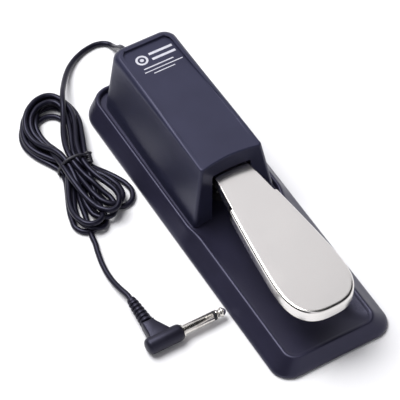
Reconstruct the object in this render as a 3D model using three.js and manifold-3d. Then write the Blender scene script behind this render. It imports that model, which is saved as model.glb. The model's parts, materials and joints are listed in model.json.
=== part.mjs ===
// Piano-style sustain pedal: a plated lever over a dished base, hinged inside a tapered housing.
// Millimetres. +Z up, the toe of the pedal points to -Y, the cord leaves the rear of the housing at +Y.
import * as THREE from 'three';
import { mergeVertices, toCreasedNormals } from 'three/addons/utils/BufferGeometryUtils.js';
import Module from 'manifold-3d';

const wasm = await Module();
wasm.setup();

// ---------------------------------------------------------------- driving sizes
const GAP = 0.3; // kept between pieces that touch or are cut round one another

// base
const BASE_WIDTH = 80;
const BASE_LENGTH = 250;
const FRONT = -BASE_LENGTH / 2;
const REAR = BASE_LENGTH / 2;
const BASE_CORNER_FRONT = 12.5;
const BASE_CORNER_REAR = 18;
const BASE_LIFT = 0.8; // the tray edge clears the floor, the mat carries the pedal
const BASE_EDGE = 1.6; // short upright edge below the slope
const SLOPE_FRONT = 9.3; // plan width of the slope beside the lever
const SLOPE_REAR = 6.3; // and round the housing
const CREST_HALF_FRONT = BASE_WIDTH / 2 - SLOPE_FRONT;
const CREST_HALF_REAR = BASE_WIDTH / 2 - SLOPE_REAR;
const CREST_Z_FRONT = 11.7;
const CREST_Z_REAR = 13.2;
const CREST_FRONT_INSET = 5.3;
const CREST_REAR_INSET = 2.4;
const CREST_CORNER_FRONT = 8;
const CREST_CORNER_REAR = 12.5;
const DISH_Z = 8.0;
const FLOOR_Z = 10.0; // floor of the pocket the housing stands in
const FOOT_Z = FLOOR_Z + GAP; // where everything screwed to that floor begins
const SKIN = 2.4;

// underside
const MAT_THICK = 1.0;
const PLATE_THICK = 2.0;
const PLATE_Z = MAT_THICK + GAP;
const PLATE_TOP = PLATE_Z + PLATE_THICK;
const PLATE_INSET = 4.6;

// lever heights, on which the hinge, the switch and the housing are built up
const LEVER_TOP_Z = 44.2; // at the mouth of the housing
const LEVER_SLOPE = 0.0205; // the toe hangs slightly low
const LEVER_NECK_HALF = 11.8;
const LEVER_TOE_HALF = 21.1;
const LEVER_TOE_Y = FRONT + 9.8;
const LEVER_DEPTH = 8.8;
const LEVER_METAL = 2.0;
const LEVER_ROLL = 1.8; // rolled edge forward of the notch

// housing
const HOUSING_REAR_FOOT = REAR - 10.6;
const HOUSING_REAR_TOP = HOUSING_REAR_FOOT - 1.2;
const HOUSING_LENGTH = 119.8;
const HOUSING_FRONT_FOOT = HOUSING_REAR_FOOT - HOUSING_LENGTH;
const HOUSING_FRONT_TOP = HOUSING_FRONT_FOOT + 4.9;
const STEP_FROM = HOUSING_FRONT_FOOT - 10.6; // the crest swings out to the rim between these two
const STEP_TO = HOUSING_FRONT_FOOT + 3.4;
const HOUSING_HALF_FOOT = CREST_HALF_REAR - 4.5;
const HOUSING_HALF_TOP = LEVER_NECK_HALF + 9.6;
const HOUSING_TOP_Z = LEVER_TOP_Z + 11.8;
const HOUSING_SAG = 2.2; // the front face is hollow in plan
const HOUSING_CORNER_FRONT = 3.2;
const HOUSING_CORNER_REAR = 8;
const SHOULDER_FRONT = 1.0; // edge rounding of the top, sharp in front and soft behind
const SHOULDER_REAR = 4.4;
const HOUSING_WALL = 2.5;
const HOUSING_CEILING = HOUSING_TOP_Z - 4;
const PANEL_DROP = 1.8; // how far the top panel sinks at the rear
const PANEL_BORDER = 2.6;
const MOUTH_HALF_TOP = LEVER_NECK_HALF + 1.7;
const MOUTH_HALF_FOOT = LEVER_NECK_HALF + 3.8;
const MOUTH_TOP_Z = LEVER_TOP_Z + 1.4;

// hinge
const LEVER_MOUTH_Y = HOUSING_FRONT_FOOT + 3.6;
const NOTCH_Y = LEVER_MOUTH_Y - 24;
const PIVOT_Y = LEVER_MOUTH_Y + 47;
const PIVOT_Z = LEVER_TOP_Z - 11.2;
const LEVER_TAIL_Y = PIVOT_Y + 30;
const AXLE_R = 3;
const SHEET = 1.5;
const BRACKET_HALF = LEVER_NECK_HALF + 5.2;
const BRACKET_REACH = 9; // half length of the bracket foot
const EAR_RISE = AXLE_R + 2.5; // metal above the axle

// spring and switch
const SPRING_Y = LEVER_MOUTH_Y + 14;
const SPRING_R = 5.6;
const SPRING_WIRE = 1.5;
const SPRING_TURNS = 7;
const CUP_RISE = 3.1; // the spring stands this far above the pocket floor
const SPRING_BOTTOM_Z = FOOT_Z + CUP_RISE;
const SPRING_TOP_Z = LEVER_TOP_Z - 5.6;
const SEAT_SPIGOT = 3.6;
const SWITCH_Y0 = PIVOT_Y - 24.5;
const SWITCH_Y1 = SWITCH_Y0 + 19.9;
const SWITCH_Z1 = LEVER_TOP_Z - 4.5;
const SWITCH_Z0 = SWITCH_Z1 - 10.2;
const SWITCH_HALF = 3.2;
const SWITCH_HOLES = [SWITCH_Y0 + 4.5, SWITCH_Y0 + 16.5];
const SWITCH_HOLE_Z = SWITCH_Z0 + 2.9;
const TERMINALS = [SWITCH_Y0 + 3.7, SWITCH_Y0 + 12.5];
const TERMINAL_LENGTH = 3.9;
const PLUNGER_Y = SWITCH_Y0 + 14.5;
const PLUNGER_R = 1.2;
const POLARITY_Y = PIVOT_Y + 35;
const POLARITY_HALF = [6.4, 3.3];
const KNOB_TRAVEL = 4.2;
const CLAMP_Y = PIVOT_Y + 45;
const CLAMP_LENGTH = 7;
const CLAMP_SCREW_X = 7.8;

// stops
const FELT = { half: 9.4, reach: 4.1, thick: 2.6, clear: 0.3 };
const PAD = { half: 8, from: PIVOT_Y + 17, to: PIVOT_Y + 27, thick: 2.5 };

// cord and plug
const CORD_R = 1.8;
const JACKET_R = 1.6;
const WIRE_R = 0.6;
const RELIEF_Z = 24;
const RELIEF_TIP_Y = HOUSING_REAR_FOOT + 17.6;
const RELIEF_NECK_R = 4.1; // where it passes through the housing wall
const PLUG_Z = 5.6;
const PLUG_R = 5.3;
const JACK_R = 3.175;
// the cord lies beside the base: its points follow the left edge and the rear edge
const LAY_X = 40 - BASE_WIDTH / 2;
const LAY_Y = REAR - 125;
const PLUG_X = -72.6 + LAY_X; // front face of the plug, the jack points along +X
const PLUG_Y = -64.7 + LAY_Y;

// ---------------------------------------------------------------- materials
const finish = {
  abs: [0x35343f, 0.5, 0],
  trayAbs: [0x2f2e39, 0.45, 0],
  chrome: [0xd8d8d6, 0.12, 1],
  steel: [0x9a9da1, 0.35, 1],
  zinc: [0xb4b6b2, 0.4, 1],
  rubber: [0x1b1b1f, 0.85, 0],
  nylon: [0xe6e2d6, 0.45, 0],
  felt: [0x7c2a2e, 0.95, 0],
  phenolic: [0x14151a, 0.55, 0],
  knob: [0xd9d9d4, 0.5, 0],
  cord: [0x1c1b22, 0.5, 0],
  nickel: [0xc9c6bf, 0.2, 1],
  tinned: [0xc2bda8, 0.35, 1],
  redWire: [0xa8242a, 0.5, 0],
  blackWire: [0x18181c, 0.5, 0],
};

const pedal = new THREE.Group();
pedal.name = 'sustain_pedal';

function add(name, geometry, kind) {
  const [color, roughness, metalness] = finish[kind];
  const shown = toCreasedNormals(geometry.index ? geometry.toNonIndexed() : geometry, Math.PI / 5);
  const mesh = new THREE.Mesh(shown, new THREE.MeshStandardMaterial({ color, roughness, metalness }));
  mesh.name = name;
  pedal.add(mesh);
}

// ---------------------------------------------------------------- solids
function welded(geometry) {
  const bare = geometry.clone();
  bare.deleteAttribute('normal');
  bare.deleteAttribute('uv');
  return mergeVertices(bare, 1e-4);
}

function toSolid(geometry) {
  const g = welded(geometry);
  return new wasm.Manifold(new wasm.Mesh({
    numProp: 3,
    vertProperties: new Float32Array(g.attributes.position.array),
    triVerts: new Uint32Array(g.index.array),
  }));
}

function fromSolid(solid) {
  const mesh = solid.getMesh();
  const g = new THREE.BufferGeometry();
  g.setAttribute('position', new THREE.BufferAttribute(new Float32Array(mesh.vertProperties), 3));
  g.setIndex(new THREE.BufferAttribute(new Uint32Array(mesh.triVerts), 1));
  return g;
}

function join(...parts) {
  return fromSolid(parts.map(toSolid).reduce((a, b) => a.add(b)));
}

function cut(body, ...tools) {
  return fromSolid(tools.map(toSolid).reduce((a, b) => a.subtract(b), toSolid(body)));
}

function block(x0, x1, y0, y1, z0, z1) {
  return new THREE.BoxGeometry(x1 - x0, y1 - y0, z1 - z0)
    .translate((x0 + x1) / 2, (y0 + y1) / 2, (z0 + z1) / 2);
}

// a turned body: profile of [radius, height] pairs from axis to axis, standing on +Z
function turned(profile, sides = 12) {
  return new THREE.LatheGeometry(profile.map(([r, h]) => new THREE.Vector2(r, h)), sides)
    .rotateX(Math.PI / 2);
}

function alongX(geometry) {
  return geometry.rotateY(Math.PI / 2);
}

function alongY(geometry) {
  return geometry.rotateX(-Math.PI / 2);
}

function rod(radius, from, to, sides = 12) {
  return turned([[0, from], [radius, from], [radius, to], [0, to]], sides);
}

// extruded flat outline, standing on +Z from z0 to z1
function slab(points, z0, z1, holes = []) {
  const shape = new THREE.Shape(points.map(([x, y]) => new THREE.Vector2(x, y)));
  for (const hole of holes) {
    shape.holes.push(new THREE.Path(hole.map(([x, y]) => new THREE.Vector2(x, y))));
  }
  return new THREE.ExtrudeGeometry(shape, { depth: z1 - z0, bevelEnabled: false }).translate(0, 0, z0);
}

// skin over a stack of closed loops that all have the same number of points; a strip cap joins
// each point of a mirrored outline to its twin, which keeps a cap that rises with y free of creases
function loft(rings, strip = false) {
  const count = rings[0].length;
  const position = [];
  const index = [];
  for (const ring of rings) for (const p of ring) position.push(p.x, p.y, p.z);
  for (let k = 0; k < rings.length - 1; k++) {
    for (let i = 0; i < count; i++) {
      const j = (i + 1) % count;
      const a = k * count + i;
      const b = k * count + j;
      index.push(a, b, b + count, a, b + count, a + count);
    }
  }
  const cap = (k, flip) => {
    const flat = rings[k].map((p) => new THREE.Vector2(p.x, p.y));
    for (const [a, b, c] of THREE.ShapeUtils.triangulateShape(flat, [])) {
      const o = k * count;
      if (flip) index.push(o + a, o + c, o + b);
      else index.push(o + a, o + b, o + c);
    }
  };
  cap(0, true);
  if (strip) stripCap((rings.length - 1) * count, count, index);
  else cap(rings.length - 1, false);
  const g = new THREE.BufferGeometry();
  g.setAttribute('position', new THREE.Float32BufferAttribute(position, 3));
  g.setIndex(index);
  return g;
}

function stripCap(offset, count, index) {
  const twin = (i) => offset + ((count - i) % count);
  const half = count / 2;
  index.push(offset, offset + 1, twin(1));
  for (let i = 1; i < half - 1; i++) {
    index.push(offset + i, offset + i + 1, twin(i + 1), offset + i, twin(i + 1), twin(i));
  }
  index.push(offset + half - 1, offset + half, twin(half - 1));
}

function sweep(points, radius, steps, sides = 8) {
  const knots = points.map(([x, y, z]) => new THREE.Vector3(x, y, z));
  const path = new THREE.CatmullRomCurve3(knots, false, 'centripetal');
  const round = new THREE.Shape();
  for (let i = 0; i < sides; i++) {
    const a = (2 * Math.PI * i) / sides;
    if (i === 0) round.moveTo(radius * Math.cos(a), radius * Math.sin(a));
    else round.lineTo(radius * Math.cos(a), radius * Math.sin(a));
  }
  round.closePath();
  return new THREE.ExtrudeGeometry(round, { steps, extrudePath: path, bevelEnabled: false });
}

const mix = (a, b, t) => a + (b - a) * t;
const smooth = (from, to, v) => {
  const t = Math.min(1, Math.max(0, (v - from) / (to - from)));
  return t * t * (3 - 2 * t);
};

// closed plan outline, symmetric in x: front edge, front corner, side, rear corner, rear edge
function outline({ half, front, rear, cornerFront, cornerRear, sag = 0 }) {
  const right = [];
  const cornerSteps = 4;
  const edgeSteps = sag ? 4 : 1;
  const sideSteps = front > STEP_FROM ? 5 : 11;
  const yA = front + cornerFront;
  const yB = rear - cornerRear;
  const flatFront = half(yA) - cornerFront;
  const flatRear = half(yB) - cornerRear;
  for (let i = 0; i < edgeSteps; i++) {
    const x = (flatFront * i) / edgeSteps;
    right.push([x, front + sag * (1 - (x / flatFront) ** 2)]);
  }
  for (let i = 0; i <= cornerSteps; i++) {
    const a = (Math.PI / 2) * (i / cornerSteps);
    right.push([flatFront + cornerFront * Math.sin(a), yA - cornerFront * Math.cos(a)]);
  }
  for (let i = 1; i < sideSteps; i++) {
    const t = i / sideSteps;
    const y = t < 0.3 ? mix(yA, STEP_FROM, t / 0.3)
      : t < 0.8 ? mix(STEP_FROM, STEP_TO, (t - 0.3) / 0.5)
        : mix(STEP_TO, yB, (t - 0.8) / 0.2);
    const even = mix(yA, yB, t);
    right.push(front > STEP_FROM ? [half(even), even] : [half(y), y]);
  }
  for (let i = 0; i <= cornerSteps; i++) {
    const a = (Math.PI / 2) * (i / cornerSteps);
    right.push([flatRear + cornerRear * Math.cos(a), yB + cornerRear * Math.sin(a)]);
  }
  for (let i = 1; i <= edgeSteps; i++) right.push([flatRear * (1 - i / edgeSteps), rear]);
  const left = right.slice(1, -1).reverse().map(([x, y]) => [-x, y]);
  return [...right, ...left];
}

// ---------------------------------------------------------------- base tray
const rearShare = (y) => smooth(STEP_FROM, STEP_TO, y);
const crestHalf = (y) => mix(CREST_HALF_FRONT, CREST_HALF_REAR, rearShare(y));

function slopeRing(t, z) {
  const loop = outline({
    half: (y) => mix(BASE_WIDTH / 2, crestHalf(y), t),
    front: FRONT + CREST_FRONT_INSET * t,
    rear: REAR - CREST_REAR_INSET * t,
    cornerFront: mix(BASE_CORNER_FRONT, CREST_CORNER_FRONT, t),
    cornerRear: mix(BASE_CORNER_REAR, CREST_CORNER_REAR, t),
  });
  return loop.map(([x, y]) => new THREE.Vector3(x, y, typeof z === 'number' ? z : z(y)));
}

function topRing(inset, zFront, zRear) {
  const loop = outline({
    half: (y) => crestHalf(y) - inset,
    front: FRONT + CREST_FRONT_INSET + inset,
    rear: REAR - CREST_REAR_INSET - inset,
    cornerFront: Math.max(CREST_CORNER_FRONT - inset * 0.6, 1.2),
    cornerRear: Math.max(CREST_CORNER_REAR - inset * 0.8, 1.2),
  });
  return loop.map(([x, y]) => new THREE.Vector3(x, y, mix(zFront, zRear, rearShare(y))));
}

// inset from the crest, height of the dish in front, height of rim and pocket behind
const TOP_PROFILE = [
  [0.9, 0.15, 0], [2.1, -0.35, 0], [2.8, -0.6, -0.7], [3.1, -0.7, null],
  [7, -1.8, null], [13, -2.85, null], [20, -3.5, null], [27, null, null],
];

function trayOuter() {
  const zLow = BASE_LIFT + BASE_EDGE;
  const crest = (y) => mix(CREST_Z_FRONT, CREST_Z_REAR - 0.9, rearShare(y));
  const rings = [
    slopeRing(0, BASE_LIFT),
    slopeRing(0, zLow),
    slopeRing(0.06, zLow + 0.9),
    slopeRing(0.5, (y) => mix(zLow + 0.9, crest(y), 0.47)),
    slopeRing(0.95, (y) => crest(y) - 0.45),
    slopeRing(1, crest),
  ];
  for (const [inset, dFront, dRear] of TOP_PROFILE) {
    const zFront = dFront === null ? DISH_Z : CREST_Z_FRONT + dFront;
    const zRear = dRear === null ? FLOOR_Z : CREST_Z_REAR + dRear;
    rings.push(topRing(inset, zFront, zRear));
  }
  return loft(rings, true);
}

function trayHollow() {
  const ring = (t, inset, z) => slopeRing(t, z).map((p) => new THREE.Vector3(
    p.x * (1 - inset / (BASE_WIDTH / 2)), p.y * (1 - inset / REAR), p.z));
  return loft([
    ring(0, PLATE_INSET - 0.5, -1), ring(0, PLATE_INSET - 0.5, PLATE_TOP + GAP),
    ring(1, PLATE_INSET + 1.5, DISH_Z - SKIN),
  ]);
}

// screw places as [x, y], mirrored left and right
const pair = (x, y) => [[-x, y], [x, y]];
const HOUSING_SCREWS = [...pair(HOUSING_HALF_FOOT - 8.6, HOUSING_FRONT_FOOT + 17.4),
  ...pair(HOUSING_HALF_FOOT - 9, HOUSING_REAR_FOOT - 15.4)];
const FRONT_SCREWS = pair(CREST_HALF_FRONT - 8.5, FRONT + 21);
const BRACKET_SCREWS = [...pair(BRACKET_HALF - 9, PIVOT_Y - 5.4), ...pair(BRACKET_HALF - 9, PIVOT_Y + 5.4)];
const SWITCH_FOOT_SCREW = [-6.2, SWITCH_Y0 + 7];
const CLAMP_SCREWS = pair(CLAMP_SCREW_X, CLAMP_Y);
const FLOOR_SCREWS = [...BRACKET_SCREWS, SWITCH_FOOT_SCREW, ...CLAMP_SCREWS];

function baseTray() {
  const bosses = FLOOR_SCREWS.map(([x, y]) => rod(3.2, DISH_Z - SKIN - 0.5, FLOOR_Z - 1).translate(x, y, 0));
  const frontBosses = FRONT_SCREWS.map(([x, y]) => rod(3.4, PLATE_TOP + GAP, DISH_Z - 1).translate(x, y, 0));
  const body = join(cut(trayOuter(), trayHollow()), ...bosses, ...frontBosses);
  const holes = [
    ...HOUSING_SCREWS.map(([x, y]) => rod(2.2, 0, 30).translate(x, y, 0)),
    ...FLOOR_SCREWS.map(([x, y]) => rod(1.8, 0, 30).translate(x, y, 0)),
    ...FRONT_SCREWS.map(([x, y]) => rod(1.6, 0, DISH_Z - 1.2).translate(x, y, 0)),
    block(-POLARITY_HALF[0] - 0.6, POLARITY_HALF[0] + 0.6, POLARITY_Y - POLARITY_HALF[1] - 0.6,
      POLARITY_Y + POLARITY_HALF[1] + 0.6, 0, 30),
  ];
  return cut(body, ...holes);
}

// ---------------------------------------------------------------- underside
function underOutline(inset) {
  return outline({
    half: () => BASE_WIDTH / 2 - inset,
    front: FRONT + inset,
    rear: REAR - inset,
    cornerFront: BASE_CORNER_FRONT - inset * 0.1,
    cornerRear: BASE_CORNER_REAR - inset * 0.1,
  });
}

function slotted(body) {
  return cut(body, block(-5, 5, POLARITY_Y - 2.8, POLARITY_Y + 2.8, -5, 9));
}

function floorMat() {
  const heads = [...HOUSING_SCREWS, ...FRONT_SCREWS].map(([x, y]) => rod(4.6, -1, 3).translate(x, y, 0));
  return slotted(cut(slab(underOutline(PLATE_INSET), 0, MAT_THICK), ...heads));
}

function ballastPlate() {
  const sinks = [...HOUSING_SCREWS, ...FRONT_SCREWS].map(([x, y]) => turned([
    [0, PLATE_Z - 1], [4.9, PLATE_Z - 1], [4.1, PLATE_Z], [2.2, PLATE_Z + 1.9],
    [2.2, PLATE_TOP + 1], [0, PLATE_TOP + 1],
  ]).translate(x, y, 0));
  return slotted(cut(slab(underOutline(PLATE_INSET), PLATE_Z, PLATE_TOP), ...sinks));
}

// countersunk screw seen from below, cross recess in the head
function sunkScrew(shank, tip) {
  const face = PLATE_Z + 0.15;
  const body = turned([
    [0, face], [3.45, face], [shank, face + 1.7], [shank, tip - 1.2], [0.5, tip], [0, tip],
  ], 10);
  return cut(body, block(-2, 2, -0.4, 0.4, face - 1, face + 1), block(-0.4, 0.4, -2, 2, face - 1, face + 1));
}

// round-headed screw pointing down, head on top
function panScrew(shank, head, headHeight, length) {
  const body = turned([
    [0, -length], [shank * 0.4, -length], [shank, -length + 1], [shank, 0], [head, 0],
    [head, headHeight * 0.5], [head * 0.75, headHeight], [0, headHeight],
  ], 10);
  const top = headHeight + 1;
  const low = headHeight * 0.4;
  return cut(body, block(-head * 0.6, head * 0.6, -0.35, 0.35, low, top),
    block(-0.35, 0.35, -head * 0.6, head * 0.6, low, top));
}

// ---------------------------------------------------------------- housing
function housingLoop(z, inset, grow = 0) {
  const t = (z - FOOT_Z) / (HOUSING_TOP_Z - FOOT_Z);
  return outline({
    half: (y) => mix(HOUSING_HALF_FOOT, HOUSING_HALF_TOP, t)
      - 0.9 * smooth(HOUSING_FRONT_FOOT + 25, HOUSING_REAR_FOOT, y) * (1 - t) - inset,
    front: mix(HOUSING_FRONT_FOOT, HOUSING_FRONT_TOP, t) + inset,
    rear: mix(HOUSING_REAR_FOOT, HOUSING_REAR_TOP, t) - inset,
    cornerFront: Math.max(HOUSING_CORNER_FRONT - grow, 0.8),
    cornerRear: Math.max(HOUSING_CORNER_REAR - grow, 1.2),
    sag: HOUSING_SAG,
  });
}

function housingOuter() {
  const shoulder = (y) => mix(SHOULDER_FRONT, SHOULDER_REAR,
    smooth(HOUSING_FRONT_FOOT + 5, HOUSING_REAR_FOOT - 8, y));
  const rings = [housingLoop(FOOT_Z, 0).map(([x, y]) => new THREE.Vector3(x, y, FOOT_Z))];
  const steps = 3;
  for (let k = 0; k <= steps; k++) {
    const a = (Math.PI / 2) * (k / steps);
    const outer = housingLoop(HOUSING_TOP_Z, 0);
    const insetBy = (y) => shoulder(y) * (1 - Math.cos(a));
    const flat = outer.map(([x, y]) => {
      const r = shoulder(y);
      const z = HOUSING_TOP_Z - r * (1 - Math.sin(a));
      const t = (z - FOOT_Z) / (HOUSING_TOP_Z - FOOT_Z);
      const spread = mix(HOUSING_HALF_FOOT, HOUSING_HALF_TOP, t) / HOUSING_HALF_TOP;
      const middle = (HOUSING_FRONT_TOP + HOUSING_REAR_TOP) / 2;
      const reach = (HOUSING_REAR_TOP - HOUSING_FRONT_TOP) / 2;
      const kx = spread * (1 - insetBy(y) / HOUSING_HALF_TOP);
      const share = (y - middle) / reach;
      const ky = share > 0
        ? share * (mix(HOUSING_REAR_FOOT, HOUSING_REAR_TOP, t) - middle - insetBy(y))
        : share * (middle - mix(HOUSING_FRONT_FOOT, HOUSING_FRONT_TOP, t) - insetBy(y));
      return new THREE.Vector3(x * kx, middle + ky, z);
    });
    rings.push(flat);
  }
  return loft(rings);
}

function housingHollow() {
  const ring = (z) => housingLoop(z, HOUSING_WALL, HOUSING_WALL * 0.5)
    .map(([x, y]) => new THREE.Vector3(x, y, z));
  return loft([ring(FOOT_Z).map((p) => new THREE.Vector3(p.x, p.y, FOOT_Z - 3)), ring(HOUSING_CEILING)]);
}

// wedge that sinks the top panel towards the rear and leaves a border round it
function panelWedge() {
  const reach = { from: HOUSING_FRONT_TOP + 3.2, to: HOUSING_REAR_TOP - SHOULDER_REAR - 1.2 };
  const loop = outline({
    half: () => HOUSING_HALF_TOP - PANEL_BORDER,
    front: reach.from, rear: reach.to, cornerFront: 1, cornerRear: 3.5,
  });
  const depth = (y) => PANEL_DROP * smooth(0, 1, (y - reach.from) / (reach.to - reach.from)) + 0.001;
  return loft([
    loop.map(([x, y]) => new THREE.Vector3(x * 0.985, y, HOUSING_TOP_Z - depth(y))),
    loop.map(([x, y]) => new THREE.Vector3(x, y, HOUSING_TOP_Z + 4)),
  ]);
}

// the felt the lever rests against, and the rib that holds it
const FELT_Y = HOUSING_FRONT_FOOT + 14.9;
const FELT_Z = LEVER_TOP_Z + LEVER_SLOPE * (FELT_Y + FELT.reach - LEVER_MOUTH_Y) + FELT.clear;

function housingShell() {
  const bosses = HOUSING_SCREWS.map(([x, y]) => rod(4.2, FOOT_Z, FOOT_Z + 15.7).translate(x, y, 0));
  const feltRib = block(-FELT.half - 0.6, FELT.half + 0.6, FELT_Y - FELT.reach - 0.4, FELT_Y + FELT.reach + 0.4,
    FELT_Z + FELT.thick + GAP, HOUSING_CEILING + 1);
  const mouth = slab([[-MOUTH_HALF_FOOT, 0], [MOUTH_HALF_FOOT, 0], [MOUTH_HALF_TOP, MOUTH_TOP_Z],
    [-MOUTH_HALF_TOP, MOUTH_TOP_Z]], 0, 14).rotateX(Math.PI / 2).translate(0, HOUSING_FRONT_FOOT + 11.4, 0);
  const cordHole = alongY(rod(RELIEF_NECK_R + 0.4, HOUSING_REAR_FOOT - 13, HOUSING_REAR_FOOT + 7, 14))
    .translate(0, 0, RELIEF_Z);
  const shell = join(cut(housingOuter(), housingHollow()), feltRib, ...bosses);
  const screwHoles = HOUSING_SCREWS.map(([x, y]) => rod(1.9, 0, FOOT_Z + 12.7).translate(x, y, 0));
  return cut(shell, panelWedge(), mouth, cordHole, ...screwHoles);
}

// ---------------------------------------------------------------- lever
// half width of the flat top, from the tail to the toe
function leverHalf(y) {
  if (y > LEVER_MOUTH_Y) return LEVER_NECK_HALF;
  const flare = LEVER_TOE_HALF - LEVER_NECK_HALF;
  const s = (LEVER_MOUTH_Y - y) / (LEVER_MOUTH_Y - FRONT - 39);
  return LEVER_NECK_HALF + flare * Math.min(1, s * 1.12 - 0.12 * s ** 4);
}

function leverLoop(roll) {
  const toeFrom = LEVER_TOE_Y + 26.2;
  const power = 2.7;
  const right = [];
  const toeSteps = 10;
  for (let i = 0; i <= toeSteps; i++) {
    const a = (Math.PI / 2) * (i / toeSteps);
    const u = Math.cos(a) ** (2 / power);
    const w = Math.sin(a) ** (2 / power);
    right.push([leverHalf(toeFrom) * w, toeFrom + (LEVER_TOE_Y - toeFrom) * u]);
  }
  const flank = [1, 2, 3, 4, 5, 6].map((i) => mix(toeFrom, NOTCH_Y, i / 6.5));
  for (const y of [...flank, NOTCH_Y - 1.2, NOTCH_Y, NOTCH_Y + 12, LEVER_MOUTH_Y, SPRING_Y + 8, PIVOT_Y + 5]) {
    right.push([leverHalf(y), y]);
  }
  right.push([LEVER_NECK_HALF, LEVER_TAIL_Y], [0, LEVER_TAIL_Y]);
  const left = right.slice(1, -1).reverse().map(([x, y]) => [-x, y]);
  const loop = [...right, ...left];
  return loop.map(([x, y], i) => {
    const [px, py] = loop[(i + loop.length - 1) % loop.length];
    const [nx, ny] = loop[(i + 1) % loop.length];
    const tx = nx - px;
    const ty = ny - py;
    const size = Math.hypot(tx, ty);
    const push = roll(y);
    return [x + (ty / size) * push, y - (tx / size) * push];
  });
}

function leverBody() {
  const front = (y) => (y < NOTCH_Y - 0.5 ? 1 : 0);
  const at = (loop, z) => loop.map(([x, y]) => new THREE.Vector3(x, y, z));
  const rollRing = (a) => {
    const out = (y) => front(y) * LEVER_ROLL * Math.sin(a) - (1 - front(y)) * 0.3 * (1 - Math.sin(a));
    return at(leverLoop(out), -LEVER_ROLL * (1 - Math.cos(a)));
  };
  const outer = loft([
    at(leverLoop((y) => front(y) * LEVER_ROLL), -LEVER_DEPTH),
    rollRing(Math.PI / 2), rollRing(Math.PI / 3), rollRing(Math.PI / 6), rollRing(0),
  ]);
  const inner = (grow) => (y) => front(y) * LEVER_ROLL - LEVER_METAL - grow;
  const hollow = loft([
    at(leverLoop(inner(0)), -LEVER_DEPTH - 1),
    at(leverLoop(inner(0)), -LEVER_METAL - 1),
    at(leverLoop(inner(0.9)), -LEVER_METAL),
  ]);
  const tilt = Math.atan(LEVER_SLOPE);
  return cut(outer, hollow).translate(0, -LEVER_MOUTH_Y, 0).rotateX(tilt)
    .translate(0, LEVER_MOUTH_Y, LEVER_TOP_Z);
}

function pedalLever() {
  const inner = LEVER_NECK_HALF - LEVER_METAL;
  const high = LEVER_TOP_Z - LEVER_DEPTH + 3.6;
  const low = PIVOT_Z - EAR_RISE + 0.1;
  const profile = [[PIVOT_Y - 9, high], [PIVOT_Y - 7, PIVOT_Z - 2], [PIVOT_Y - 4, low],
    [PIVOT_Y + 4, low], [PIVOT_Y + 7, PIVOT_Z - 2], [PIVOT_Y + 9, high]];
  const cheek = (x) => slab(profile.map(([y, z]) => [y, z]), 0, LEVER_METAL)
    .rotateX(Math.PI / 2).rotateZ(Math.PI / 2).translate(x, 0, 0);
  const hole = alongX(rod(AXLE_R + 0.4, -40, 40, 14)).translate(0, PIVOT_Y, PIVOT_Z);
  return cut(join(leverBody(), cheek(-LEVER_NECK_HALF), cheek(inner)), hole);
}

// ---------------------------------------------------------------- hinge
function pivotBracket() {
  const [near, far] = [PIVOT_Y - BRACKET_REACH, PIVOT_Y + BRACKET_REACH];
  const crown = PIVOT_Z + EAR_RISE;
  const plate = block(-BRACKET_HALF, BRACKET_HALF, near, far, FOOT_Z, FOOT_Z + SHEET);
  const profile = [[near, FOOT_Z], [far, FOOT_Z], [far, FOOT_Z + 9.7], [PIVOT_Y + 4.5, crown - 1.5],
    [PIVOT_Y + 2.5, crown], [PIVOT_Y - 2.5, crown], [PIVOT_Y - 4.5, crown - 1.5], [near, FOOT_Z + 9.7]];
  const ear = (x) => slab(profile, 0, SHEET).rotateX(Math.PI / 2).rotateZ(Math.PI / 2).translate(x, 0, 0);
  const body = join(plate, ear(-BRACKET_HALF), ear(BRACKET_HALF - SHEET));
  const hole = alongX(rod(AXLE_R + GAP, -40, 40, 14)).translate(0, PIVOT_Y, PIVOT_Z);
  return cut(body, hole, ...BRACKET_SCREWS.map(([x, y]) => rod(1.8, 0, 20).translate(x, y, 0)));
}

function pivotAxle() {
  const end = BRACKET_HALF + 3.2;
  const groove = BRACKET_HALF + 0.4;
  const half = [[0, end], [AXLE_R - 0.6, end], [AXLE_R, end - 0.6], [AXLE_R, groove + 1.6],
    [AXLE_R - 0.8, groove + 1.6], [AXLE_R - 0.8, groove], [AXLE_R, groove]];
  const profile = [...half.map(([r, x]) => [r, -x]), ...half.slice().reverse()];
  return alongX(turned(profile, 14)).translate(0, PIVOT_Y, PIVOT_Z);
}

// flanged nylon sleeve between lever cheek and bracket ear
function axleSpacer(side) {
  const from = LEVER_NECK_HALF + GAP;
  const to = BRACKET_HALF - SHEET - GAP;
  const bore = AXLE_R + GAP;
  const ring = [[bore, from], [AXLE_R + 2.2, from], [AXLE_R + 2.2, from + 1], [AXLE_R + 1.3, from + 1],
    [AXLE_R + 1.3, to], [bore, to], [bore, from]];
  const body = alongX(turned(ring, 14));
  return (side < 0 ? body.rotateZ(Math.PI) : body).translate(0, PIVOT_Y, PIVOT_Z);
}

function axleClip(side) {
  const inside = AXLE_R - 0.8 + GAP;
  const outside = AXLE_R + 2;
  const open = 0.75;
  const steps = 12;
  const points = [];
  for (let i = 0; i <= steps; i++) {
    const a = open / 2 + ((2 * Math.PI - open) * i) / steps;
    points.push([outside * Math.cos(a), outside * Math.sin(a)]);
  }
  for (let i = steps; i >= 0; i--) {
    const a = open / 2 + ((2 * Math.PI - open) * i) / steps;
    points.push([inside * Math.cos(a), inside * Math.sin(a)]);
  }
  const body = alongX(slab(points, BRACKET_HALF + 0.7, BRACKET_HALF + 1.7));
  return (side < 0 ? body.rotateZ(Math.PI) : body).translate(0, PIVOT_Y, PIVOT_Z);
}

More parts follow.
